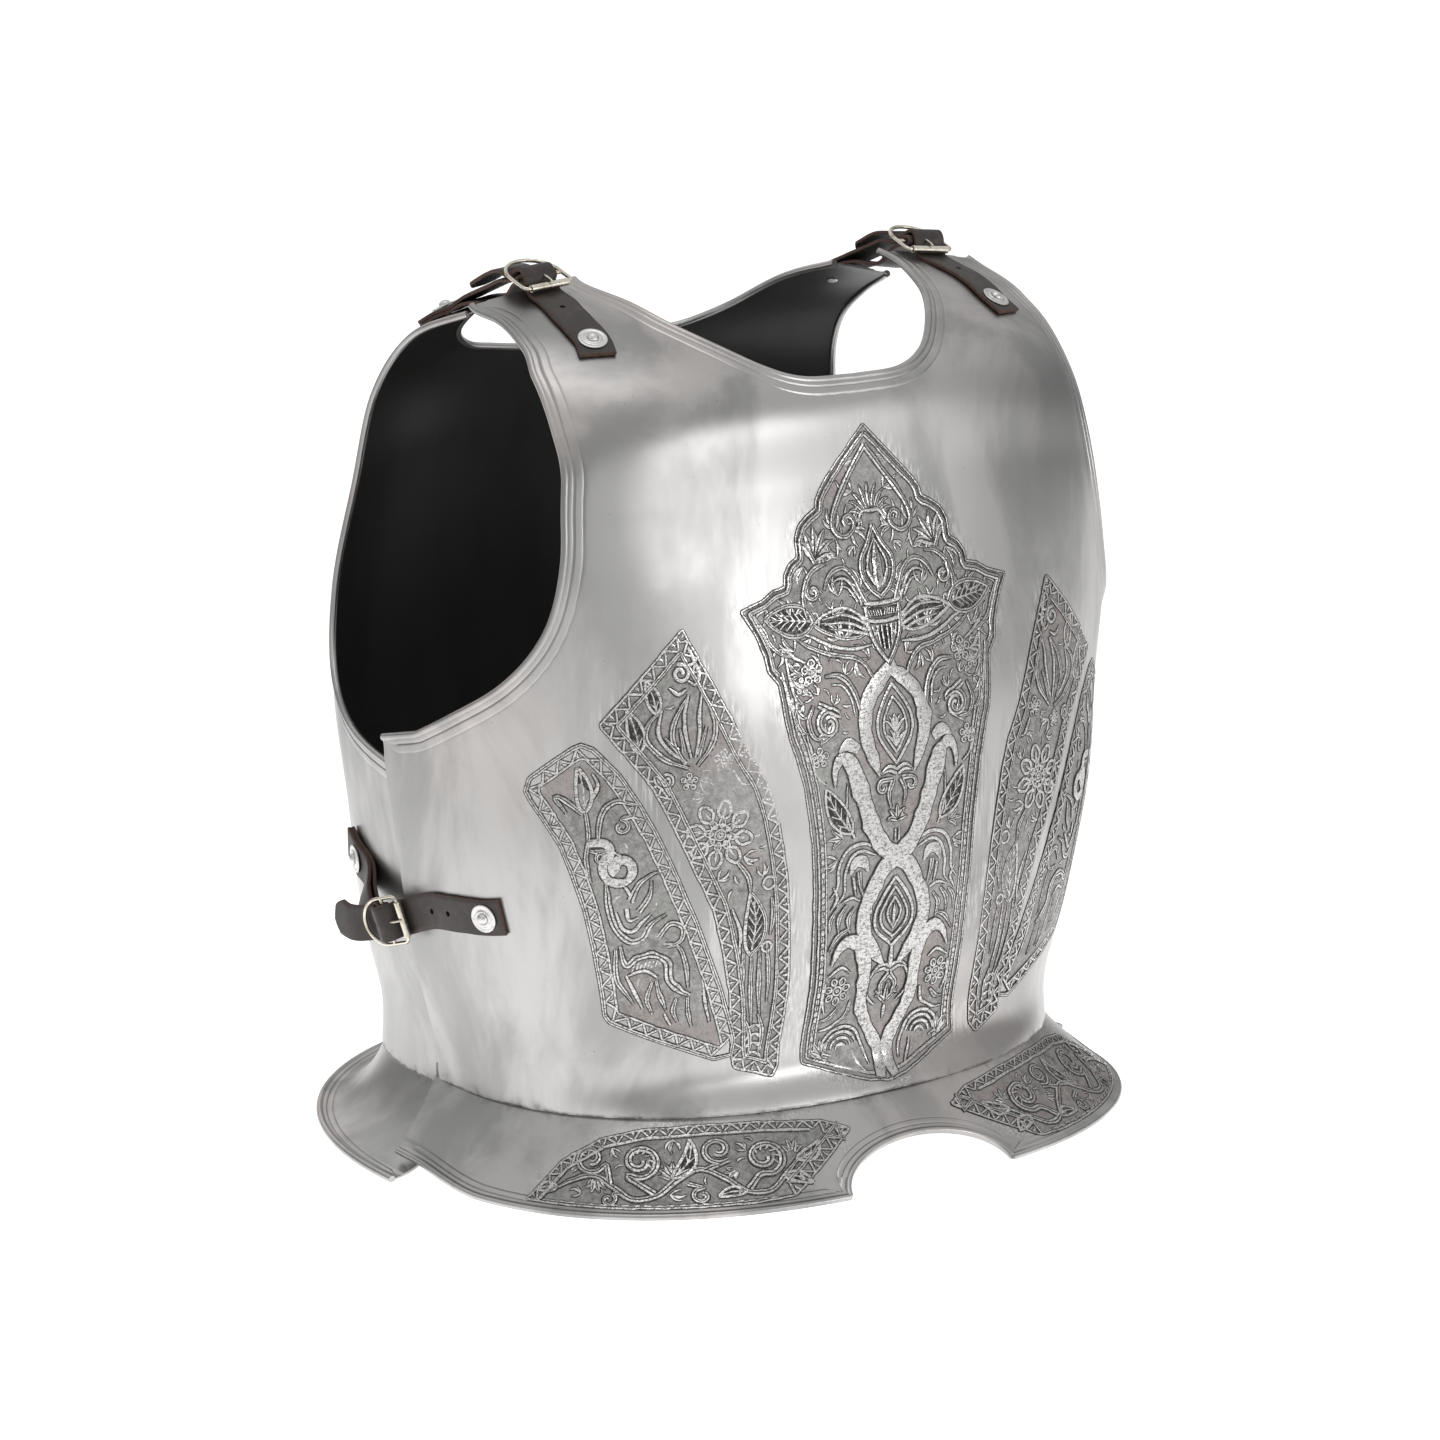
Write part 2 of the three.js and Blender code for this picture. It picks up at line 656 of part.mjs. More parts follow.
/** A washer with a raised collar round its bore. */
function washerBody(seat, stack) {
  const { bore, radius, thickness } = WASHER;
  const low = BED + stack;
  const profile = [
    [bore, low], [radius, low], [radius, low + 0.6 * thickness],
    [0.62 * radius, low + 0.6 * thickness], [0.55 * radius, low + thickness],
    [bore, low + thickness], [bore, low],
  ].map(([r, z]) => new THREE.Vector2(r, z));
  return alongNormal(new THREE.LatheGeometry(profile, 14), seat);
}

// ---------------------------------------------------------------- strap sets, on the wearer's left
const LAYER = STRAP.thickness + GAP; // one layer of leather with the gap below it
const ON = BED + STRAP.thickness / 2; // height of a strap's middle above the plate
const OVER = ON + LAYER; // the same on top of another layer

/** Strap, buckle and rivets of one shoulder. */
function shoulderSet() {
  const along = vec(0.06, 0.94, 0.34);
  const seat = new BuckleSeat(SHOULDER_BUCKLE, vec(121.5, 9.5, 447.7), along, vec(0.07, -0.34, 0.94));
  const up = vec(0.15, 0.2, 0.97);
  return {
    seat,
    frontRivet: seatOn(BREAST, 7.81, 37.3),
    backRivet: seatOn(BACK, 8.2, 41),
    front: [
      onPlate(BREAST, 7.63, 38.1, ON), onPlate(BREAST, 7.81, 37.3, ON), onPlate(BREAST, 8.02, 37.5, ON),
      onPlate(BREAST, 8.25, 38, ON), onPlate(BREAST, 8.47, 38.6, ON),
      ...throughBuckle(seat, 2.6),
      free(124.2, 47.5, 451.9, up), free(124.2, 59, 447.2, up), free(124.2, 70, 441.8, up),
    ],
    backUpper: [
      onPlate(BACK, 7.95, 41, OVER), onPlate(BACK, 8.2, 41, OVER), onPlate(BACK, 8.42, 41, OVER),
      free(122.5, 72, 437.4, up), free(122.3, 51, 445, up), free(122.3, 40, 448.8, up),
      inBuckle(seat, 22, -6.6), inBuckle(seat, 18, -4.1), inBuckle(seat, 13.5, 0.2),
    ],
    backLower: [
      inBuckle(seat, 14, -4.3), inBuckle(seat, 18, -7.4), free(122, 34, 443, up),
      free(122, 40, 437.5, up), free(122, 49, 435.4, up), free(122.5, 60, 435.4, up),
      free(123, 72, 433.6, up),
      onPlate(BACK, 8.42, 41, ON), onPlate(BACK, 8.2, 41, ON), onPlate(BACK, 7.95, 41, ON),
    ],
    holes: [onPlate(BREAST, 8.36, 38.3, 0)],
  };
}

/** Strap, buckle and rivets of one flank. */
function flankSet() {
  const along = vec(0.28, 0.92, -0.27);
  const seat = new BuckleSeat(FLANK_BUCKLE, vec(201.5, 29.5, 130), along, vec(0.935, -0.33, -0.13));
  const side = vec(0.98, 0.1, 0);
  return {
    seat,
    frontRivet: seatOn(BREAST, 2.57, 71.3),
    backRivet: seatOn(BACK, 2.63, 64.5),
    front: [
      onPlate(BREAST, 2.6, 67, ON), onPlate(BREAST, 2.57, 71.3, ON), onPlate(BREAST, 2.55, 77, ON),
      onPlate(BREAST, 2.53, 82, ON), onPlate(BREAST, 2.5, 88, ON),
      ...throughBuckle(seat, 0),
      free(208.8, 66, 121.6, side), free(208, 82, 123.5, side),
    ],
    backUpper: [
      onPlate(BACK, 2.72, 60.5, OVER), onPlate(BACK, 2.63, 64.5, OVER), onPlate(BACK, 2.55, 68.5, OVER),
      free(198.5, 70, 132, side), free(202.6, 58, 124, side),
      inBuckle(seat, 22, -6.6), inBuckle(seat, 18, -4.1), inBuckle(seat, 13.5, 0.2),
    ],
    backLower: [
      inBuckle(seat, 14, -4.3), inBuckle(seat, 18, -7.4), inBuckle(seat, 22, -10),
      free(198.6, 58, 124, side), free(194.8, 70, 132, side),
      onPlate(BACK, 2.55, 68.5, ON), onPlate(BACK, 2.63, 64.5, ON), onPlate(BACK, 2.72, 60.5, ON),
    ],
    holes: [onPlate(BREAST, 2.53, 82, 0), onPlate(BREAST, 2.5, 88, 0)],
  };
}

/** The nine bodies of a strap set, by the last part of their names. */
function strapBodies(set) {
  const { seat, frontRivet, backRivet, holes } = set;
  const prong = prongPath(seat);
  const frontCuts = [
    drill(frontRivet, RIVET.hole, -3, 6),
    wireAlong(prong, PRONG.relief, 6, 18),
    ...holes.map(({ point, out }) => drill({ point, normal: out }, HOLE, -0.2, 6)),
  ];
  const slot = seat.place(new THREE.BoxGeometry(9, 2 * PRONG.slot, 8).translate(BUCKLE.bar, 0, 0));
  const back = foldedStrap(set.backUpper, seat, set.backLower, 38);
  return {
    front_strap: combine(strapSolid(set.front, 30, true), { cut: frontCuts }),
    back_strap: combine(back, { cut: [drill(backRivet, RIVET.hole, -3, 8), slot] }),
    buckle_frame: buckleFrame(seat),
    buckle_roller: rollerTube(seat),
    buckle_prong: wireAlong(prong, PRONG.wire, 6, 18),
    front_washer: washerBody(frontRivet, LAYER),
    front_rivet: rivetBody(frontRivet, LAYER),
    back_washer: washerBody(backRivet, 2 * LAYER),
    back_rivet: rivetBody(backRivet, 2 * LAYER),
  };
}

// ---------------------------------------------------------------- finishes
const steel = { color: 0xb9b6b2, roughness: 0.34, metalness: 1 };
const leather = { color: 0x2b211d, roughness: 0.55, metalness: 0 };
const nickel = { color: 0xcfc8b8, roughness: 0.28, metalness: 1 };
const FINISHES = {
  front_strap: leather, back_strap: leather,
  buckle_frame: nickel, buckle_roller: nickel, buckle_prong: nickel,
  front_washer: nickel, front_rivet: nickel, back_washer: nickel, back_rivet: nickel,
};

function node(name, geometry, finish) {
  const bare = geometry.index ? geometry : mergeVertices(geometry);
  bare.computeVertexNormals();
  const mesh = new THREE.Mesh(bare, new THREE.MeshStandardMaterial(finish));
  mesh.name = name;
  return mesh;
}

// ---------------------------------------------------------------- assembly
for (const plate of [BREAST, BACK]) plate.sheet = plateSheet(plate);
const sets = { shoulder: shoulderSet(), side: flankSet() };
const frontSeats = Object.values(sets).map((set) => set.frontRivet);
const backSeats = Object.values(sets).map((set) => set.backRivet);

const cuirass = new THREE.Group();
cuirass.position.y = -STAND_CENTRE;
cuirass.add(node('breastplate', bodyPlate(BREAST, frontSeats), steel));
cuirass.add(node('backplate', bodyPlate(BACK, backSeats), steel));
cuirass.add(node('breast_flange', flangeSolid(BREAST_FLANGE), steel));
cuirass.add(node('back_flange', flangeSolid(BACK_FLANGE), steel));

for (const [place, set] of Object.entries(sets)) {
  for (const [piece, geometry] of Object.entries(strapBodies(set))) {
    const solid = geometry.index ? geometry : mergeVertices(geometry);
    cuirass.add(node(`${place}_left_${piece}`, solid, FINISHES[piece]));
    cuirass.add(node(`${place}_right_${piece}`, mirrored(solid), FINISHES[piece]));
  }
}

export default cuirass;
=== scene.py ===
"""Looks of a steel breastplate with its backplate: rolled sheet, etched panels, leather and buckles.

Sizes are millimetres, measured as in the solid model, with Y from between the arm holes. They
become metres, with Y from the middle of the stand, when a piece is built.
"""

import logging
import math
from dataclasses import dataclass, replace
from enum import Enum
from typing import Callable, Iterable, Sequence

import bpy
import numpy as np
from mathutils import Matrix, Vector

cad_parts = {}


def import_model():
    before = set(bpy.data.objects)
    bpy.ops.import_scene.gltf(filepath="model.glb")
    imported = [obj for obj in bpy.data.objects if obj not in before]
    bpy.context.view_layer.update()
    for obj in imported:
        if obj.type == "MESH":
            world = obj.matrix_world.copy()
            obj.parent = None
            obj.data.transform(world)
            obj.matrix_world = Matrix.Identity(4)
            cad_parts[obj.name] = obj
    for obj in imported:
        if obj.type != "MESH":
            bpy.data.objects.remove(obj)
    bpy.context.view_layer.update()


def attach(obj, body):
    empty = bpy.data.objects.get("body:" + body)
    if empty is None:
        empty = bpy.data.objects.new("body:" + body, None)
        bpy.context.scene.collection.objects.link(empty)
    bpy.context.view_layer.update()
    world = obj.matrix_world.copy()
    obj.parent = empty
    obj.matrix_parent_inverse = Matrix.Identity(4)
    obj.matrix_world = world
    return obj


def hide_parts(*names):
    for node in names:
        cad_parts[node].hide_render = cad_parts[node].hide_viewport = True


log = logging.getLogger("cuirass")

STAND_CENTRE = 38.5
PLATE = 1.2
BED = 0.35
LAYER = 2.1
NEST = 5.0
BEAD = 1.9
LIP_INSET = 2.2
TUCK = 0.38
FAR = 99.0

Array = np.ndarray
Point = tuple[float, ...]


# ---------------------------------------------------------------- curves and numbers
def smoothstep(low: float, high: float, value: Array) -> Array:
    """Ease from 0 to 1 between two values.

    Args:
        low: Value where the result is 0.
        high: Value where the result is 1.
        value: Numbers to ease.

    Returns:
        Eased numbers.
    """
    t = np.clip((value - low) / (high - low), 0, 1)
    return t * t * (3 - 2 * t)


def unit(vectors: Array) -> Array:
    """Scale vectors to length 1."""
    return vectors / np.maximum(np.linalg.norm(vectors, axis=-1, keepdims=True), 1e-9)


def left_of(ways: Array) -> Array:
    """Turn flat directions a quarter to the left."""
    return np.stack([-ways[..., 1], ways[..., 0]], -1)


def heading(degrees: float | Array) -> Array:
    """Flat unit directions, anticlockwise from across."""
    turn = np.radians(degrees)
    return np.stack([np.cos(turn), np.sin(turn)], -1)


def lengths(points: Array) -> Array:
    """Length of a line up to each of its points."""
    return np.concatenate([[0], np.cumsum(np.linalg.norm(np.diff(points, axis=0), axis=1))])


def spots_on(points: Array, at: Array) -> Array:
    """Places on a line of points, at lengths along it."""
    run = lengths(points)
    return np.stack([np.interp(at, run, column) for column in points.T], -1)


def table_curve(rows: Array, at: Array) -> Array:
    """Read all columns of a table at fractional rows, smoothly.

    Args:
        rows: Table with one row a stop.
        at: Fractional row numbers.

    Returns:
        Values with one more axis, for the columns.
    """
    at = np.asarray(at, float)
    padded = np.vstack([2 * rows[0] - rows[1], rows, 2 * rows[-1] - rows[-2]])
    k = np.clip(np.floor(at).astype(int), 0, len(rows) - 2)
    t = (at - k)[..., None]
    a, b, c, d = (padded[k + i] for i in range(4))
    square = (2 * a - 5 * b + 4 * c - d) * t * t
    cube = (3 * b - a - 3 * c + d) * t * t * t
    return 0.5 * (2 * b + (c - a) * t + square + cube)


def smooth_path(stops: Array, step: float) -> Array:
    """Run a smooth curve through stops and cut it in steps of about one length."""
    fine = np.linspace(0, len(stops) - 1, (len(stops) - 1) * 24 + 1)
    run = lengths(table_curve(stops, fine))
    count = max(int(round(run[-1] / step)), 2)
    return table_curve(stops, np.interp(np.linspace(0, run[-1], count + 1), run, fine))


def even_path(stops: Array, step: float) -> tuple[Array, Array]:
    """Run a curve through unevenly spaced stops without overshooting.

    Args:
        stops: Points.
        step: Wanted distance between the new points.

    Returns:
        Points, and their fractional stop numbers.
    """
    padded = np.vstack([2 * stops[0] - stops[1], stops, 2 * stops[-1] - stops[-2]])
    knots = np.concatenate([[0], np.cumsum(np.linalg.norm(np.diff(padded, axis=0), axis=1) ** 0.5)])
    last = len(stops) - 2
    numbers = np.concatenate([k + np.linspace(0, 1, 24, endpoint=k == last) for k in range(last + 1)])
    k = np.minimum(numbers.astype(int), last)
    t = [knots[k + i][:, None] for i in range(4)]
    rows = [padded[k + i] for i in range(4)]
    u = t[1] + (t[2] - t[1]) * (numbers - k)[:, None]
    for level in (1, 2):
        rows = [(rows[i] * (t[i + level] - u) + rows[i + 1] * (u - t[i])) / (t[i + level] - t[i])
                for i in range(len(rows) - 1)]
    dense = (rows[0] * (t[2] - u) + rows[1] * (u - t[1])) / (t[2] - t[1])
    run = lengths(dense)
    even = np.linspace(0, run[-1], max(int(run[-1] / step), 8) + 1)
    return spots_on(dense, even), np.interp(even, run, numbers)


def grid_faces(rows: int, columns: int, closed: bool = False) -> Array:
    """Number the quads of a grid of points.

    Args:
        rows: Points along the first axis.
        columns: Points along the second axis.
        closed: Whether each row joins its own start.

    Returns:
        Quads as an array of four columns.
    """
    numbers = np.arange(rows * columns).reshape(rows, columns)
    if closed:
        numbers = np.hstack([numbers, numbers[:, :1]])
    a, b = numbers[:-1, :-1], numbers[:-1, 1:]
    c, d = numbers[1:, 1:], numbers[1:, :-1]
    return np.stack([a, b, c, d], -1).reshape(-1, 4)


def bar_faces(rings: int, sides: int) -> list[list[int]]:
    """Faces of a bar made of rings, with both ends capped."""
    caps = [list(range(sides))[::-1], list(range((rings - 1) * sides, rings * sides))]
    return grid_faces(rings, sides, closed=True).tolist() + caps


# ---------------------------------------------------------------- meshes
@dataclass(frozen=True, eq=False)
class Seat:
    """A place on a surface, with its outward normal."""

    point: Array
    normal: Array


class Skin:
    """Points and faces in millimetres that become one Blender object."""

    def __init__(self) -> None:
        """Start empty."""
        self.points: list[Array] = []
        self.faces: list[list[int]] = []
        self.slots: list[int] = []
        self.marks: dict[str, list[Array]] = {}
        self.count = 0

    def add(self, points: Array, faces: Iterable, slots: Sequence[int] = (), **marks: Array) -> None:
        """Add points with faces numbered from 0.

        Args:
            points: Points, with three numbers on the last axis.
            faces: Rows of point numbers.
            slots: Material slot of each face, if not all the first.
            **marks: One number a point for each attribute.
        """
        points = np.asarray(points, float).reshape(-1, 3)
        self.faces += [[k + self.count for k in face] for face in faces]
        self.slots += list(slots) or [0] * len(faces)
        for name in set(self.marks) | set(marks):
            past = self.marks.setdefault(name, [np.zeros(self.count)])
            past.append(np.asarray(marks.get(name, np.zeros(len(points)))).ravel())
        self.points.append(points)
        self.count += len(points)

    def tube(self, centres: Array, radii: Array | float, sides: int, closed: bool = False) -> None:
        """Add a round bar along points.

        Args:
            centres: Middle of the bar at each station.
            radii: Radius at each station, or one for all.
            sides: Faces round the bar.
            closed: Whether the bar joins its own start.
        """
        radii = np.broadcast_to(np.asarray(radii, float), len(centres))
        ahead = np.roll(centres, -1, 0) - np.roll(centres, 1, 0)
        if not closed:
            ahead[0], ahead[-1] = centres[1] - centres[0], centres[-1] - centres[-2]
        ahead = unit(ahead)
        side = np.zeros_like(centres)
        guess = np.array([0.0, 0, 1]) if abs(ahead[0][2]) < 0.9 else np.array([1.0, 0, 0])
        for k, along in enumerate(ahead):
            guess = unit(guess - along * (guess @ along))
            side[k] = guess
        turn = np.linspace(0, 2 * np.pi, sides, endpoint=False)[:, None]
        ring = side[:, None] * np.cos(turn) + np.cross(ahead, side)[:, None] * np.sin(turn)
        points = centres[:, None] + ring * radii[:, None, None]
        faces = bar_faces(len(centres), sides)
        if closed:
            last = (len(centres) - 1) * sides
            offset = int(np.argmin(np.linalg.norm(points[0] - points[-1][0], axis=1)))
            faces[-2:] = [[last + k, last + (k + 1) % sides, (k + 1 + offset) % sides, (k + offset) % sides]
                          for k in range(sides)]
        self.add(points, faces)

    def lathe(self, profile: Sequence[Point], seat: Seat, sides: int) -> None:
        """Turn a profile of radius and height about a seat's normal.

        Args:
            profile: Radius and height stops, from the foot round to the top.
            seat: Where the axis stands.
            sides: Faces round the axis.
        """
        side = unit(np.cross(seat.normal, [0.0, 0.0, 1.0]))
        turn = np.linspace(0, 2 * np.pi, sides, endpoint=False)
        ring = np.outer(np.cos(turn), side) + np.outer(np.sin(turn), np.cross(seat.normal, side))
        rings = [seat.point + ring * radius + seat.normal * height for radius, height in profile]
        self.add(rings, bar_faces(len(profile), sides))

    def build(self, name: str, finishes: Sequence["Finish"], crease: float = 40,
              flip: bool = False) -> bpy.types.Object:
        """Make the Blender object, in metres and in the frame of the stand.

        Args:
            name: Name of the piece.
            finishes: Finish of each material slot.
            crease: Angle in degrees above which an edge stays sharp.
            flip: Whether to make it for the body's other side.

        Returns:
            The new object.
        """
        moved = (np.vstack(self.points) * [-1 if flip else 1, 1, 1] - [0, STAND_CENTRE, 0]) / 1000
        _, first, back = np.unique(np.round(moved, 7), axis=0, return_index=True, return_inverse=True)
        back = back.ravel()
        faces, slots = [], []
        for face, slot in zip(self.faces, self.slots):
            whole = list(dict.fromkeys(back[face[::-1] if flip else face].tolist()))
            if len(whole) > 2:
                faces.append(whole)
                slots.append(slot)
        mesh = bpy.data.meshes.new(name)
        mesh.from_pydata(moved[first].tolist(), [], faces)
        mesh.polygons.foreach_set("material_index", slots)
        mesh.polygons.foreach_set("use_smooth", [True] * len(faces))
        for mark, parts in self.marks.items():
            values = np.concatenate(parts)[first].astype(np.float32)
            mesh.attributes.new(mark, "FLOAT", "POINT").data.foreach_set("value", values)
        mesh.validate()
        mesh.update()
        mesh.set_sharp_from_angle(angle=math.radians(crease))
        for finish in finishes:
            mesh.materials.append(finish.material())
        return linked(name, mesh)


def linked(name: str, data: bpy.types.ID) -> bpy.types.Object:
    """Put a new object with the given data in the scene."""
    piece = bpy.data.objects.new(name, data)
    bpy.context.scene.collection.objects.link(piece)
    return piece


def adopt(piece: bpy.types.Object, finish: "Finish", *nodes: str) -> bpy.types.Object:
    """Fix a piece to the body and let it stand for solid nodes.

    Args:
        piece: The new piece.
        finish: Not used.
        *nodes: Nodes that it stands for.

    Returns:
        The same piece.
    """
    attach(piece, "root")
    if nodes:
        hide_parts(*nodes)
    log.info("%s: %d faces", piece.name, len(piece.data.polygons))
    return piece


# ---------------------------------------------------------------- plate forms
BREAST_LEVELS = np.array([
    [176, 22, 39, -116, 39, 2.3], [180, 17, 64, -106, 64, 2.3], [191, 14, 110, -114, 110, 2.3],
    [199, 11, 168, -118, 168, 2.4], [204, 10, 221, -116, 229, 2.4], [208, 0, 270, -104, 291, 2.6],
    [199, -1, 315, -91, 350, 3.2], [188, 7, 358, -80, 401, 3.1], [190, 14, 400, -32, 434, 2.9],
    [192, 23, 430, 23, 454, 1.5],
], float)
BACK_LEVELS = np.array([
    [171, 22, 33, 177, 33, 3.2], [175, 17, 64, 171, 64, 3.2], [186, 14, 110, 184, 110, 3],
    [194, 11, 168, 193, 168, 2.8], [199, 10, 221, 196, 228, 2.9], [201, 18, 270, 195, 286, 2.7],
    [190, 27, 317, 187, 343, 2.6], [183, 36, 355, 168, 394, 2.6], [180, 48, 387, 120, 427, 2.5],
    [177, 60, 404, 60, 448, 1.8],
], float)
BREAST_NECK = np.array([
    [0, 7.02], [9, 7.05], [15, 7.22], [20, 7.53], [24.5, 7.93], [28, 8.4], [34.5, 9],
], float)
BREAST_ARM = np.array([
    [99.5, 4.03], [78, 4.38], [62, 4.7], [52.5, 5.12], [48.3, 5.7], [48.5, 6.4], [50.8, 7],
    [50, 7.55], [48.5, 7.95], [52, 8.5], [64.5, 9],
], float)
BACK_NECK = np.array([
    [0, 6.9], [8, 6.92], [16, 7], [22.5, 7.12], [28, 7.45], [31, 8], [35.5, 8.9],
], float)
BACK_ARM = np.array([
    [92, 3.62], [79, 3.7], [66, 3.87], [57, 4.2], [52, 4.7], [51, 5.4], [50.5, 6.2],
    [49.5, 7], [48.7, 7.6], [49.8, 8.2], [51.5, 8.9],
], float)


def oval(angle: Array, square: Array | float) -> tuple[Array, Array]:
    """How far out and ahead a superellipse of size 1 is, at angles from straight ahead."""
    turn = np.radians(np.abs(angle))
    out, ahead = np.sin(turn), np.cos(turn)
    size = (np.abs(out) ** square + np.abs(ahead) ** square) ** (1 / square)
    return out / size * np.sign(angle), ahead / size


class Surface:
    """A curved sheet, given by a place across it in degrees and a place up it."""

    facing: int

    def points(self, rise: Array, angle: Array) -> Array:
        """Points of the outer face."""
        raise NotImplementedError

    def normals(self, rise: Array, angle: Array) -> Array:
        """Outward normals of the outer face."""
        across = self.points(rise, angle + 0.25) - self.points(rise, angle - 0.25)
        up = self.points(rise + 0.01, angle) - self.points(rise - 0.01, angle)
        return unit(np.cross(across, up)) * self.facing

    def seat(self, rise: float, angle: float) -> Seat:
        """One place of the outer face with its normal."""
        rise, angle = np.array([rise], float), np.array([angle], float)
        return Seat(self.points(rise, angle)[0], self.normals(rise, angle)[0])


@dataclass(frozen=True, eq=False)
class PlateForm(Surface):
    """Form of a body plate: half a superellipse at each level, from waist to shoulder."""

    levels: Array
    other: Array
    facing: int
    side_angle: float
    neck: Array
    arm: Array
    side_rows: int = 6
    centre_rows: int = 11
    all_rows: int = 17

    def points(self, rise: Array, angle: Array) -> Array:
        """Points of the outer face; past its widest place a plate follows the other plate."""
        side_x, side_y, side_z, mid_y, mid_z, square = np.moveaxis(table_curve(self.levels, rise), -1, 0)
        other = np.moveaxis(table_curve(self.other, rise), -1, 0)
        behind = np.abs(angle) > 90
        out, ahead = oval(angle, np.where(behind, other[5], square))
        nested = side_y - (other[3] - other[1] + NEST) * ahead
        y = np.where(behind, nested, side_y + (mid_y - side_y) * ahead)
        z = side_z + (mid_z - side_z) * np.maximum(ahead, 0)
        return np.stack([side_x * out, y, z], -1)

    def edges(self, row: Array) -> tuple[Array, Array]:
        """Inner and outer end of grid rows.

        Args:
            row: Row numbers, 0 at the waist.

        Returns:
            Angle and level of the inner ends, and of the outer ends.
        """
        side = np.clip(row / self.side_rows, 0, 1)[:, None]
        foot = np.array([self.side_angle, 0.0])
        arm_at = np.clip((row - self.side_rows) / (self.all_rows - self.side_rows), 0, 1)
        arm = table_curve(self.arm, arm_at * (len(self.arm) - 1))
        outer = np.where((row <= self.side_rows)[:, None], foot + (self.arm[0] - foot) * side, arm)
        neck_at = np.clip((row - self.centre_rows) / (self.all_rows - self.centre_rows), 0, 1)
        neck = table_curve(self.neck, neck_at * (len(self.neck) - 1))
        centre = np.stack([row * 0, self.neck[0, 1] * row / self.centre_rows], -1)
        inner = np.where((row <= self.centre_rows)[:, None], centre, neck)
        return inner, outer


@dataclass(frozen=True, eq=False)
class FlangeForm(Surface):
    """Form of a waist flange: from its plate's foot, at rise 0, out to a rim near the floor, at 1."""

    plate: PlateForm
    side_x: float
    side_y: float
    mid_y: float
    square: float
    lap: float
    hollow: float
    reach: float
    arch_angle: float = 0
    arch_rise: float = 0

    @property
    def facing(self) -> int:
        """Sign that turns normals outwards."""
        return -self.plate.facing

    def points(self, rise: Array, angle: Array) -> Array:
        """Points of the outer face; below rise 0 it is the lip inside the plate."""
        rise, angle = np.broadcast_arrays(np.asarray(rise, float), np.asarray(angle, float))
        level = np.maximum(-0.3 * rise, 0)
        plate = self.plate
        top = plate.points(level, angle) - plate.normals(level, angle) * LIP_INSET
        out, ahead = oval(angle, self.square)
        lift = self.lap * smoothstep(72, 92, np.abs(angle))
        rim = np.stack([
            self.side_x * out, self.side_y + (self.mid_y - self.side_y) * ahead, BEAD + lift,
        ], -1)
        bend = top + (rim - top) * 0.4 - np.array([0, 0, self.hollow])
        s = np.clip(rise, 0, None)[..., None]
        return top * (1 - s) ** 2 + bend * 2 * s * (1 - s) + rim * s * s

    def end(self, angle: Array) -> Array:
        """How far down the flare the sheet reaches: less inside the arch."""
        if not self.arch_rise:
            return np.ones_like(angle)
        inside = np.clip(1 - (angle / self.arch_angle) ** 2, 0, None)
        return 1 - self.arch_rise * np.sqrt(inside)


BREAST = PlateForm(BREAST_LEVELS, BACK_LEVELS, 1, 95.3, BREAST_NECK, BREAST_ARM)
BACK = PlateForm(BACK_LEVELS, BREAST_LEVELS, -1, 90, BACK_NECK, BACK_ARM)
BREAST_FLANGE = FlangeForm(BREAST, 207.5, 8, -152.5, 2.4, 7, 4, 97.5, 14.6, 0.5)
BACK_FLANGE = FlangeForm(BACK, 222.5, 6, 227, 2.2, 0, 20, 89)


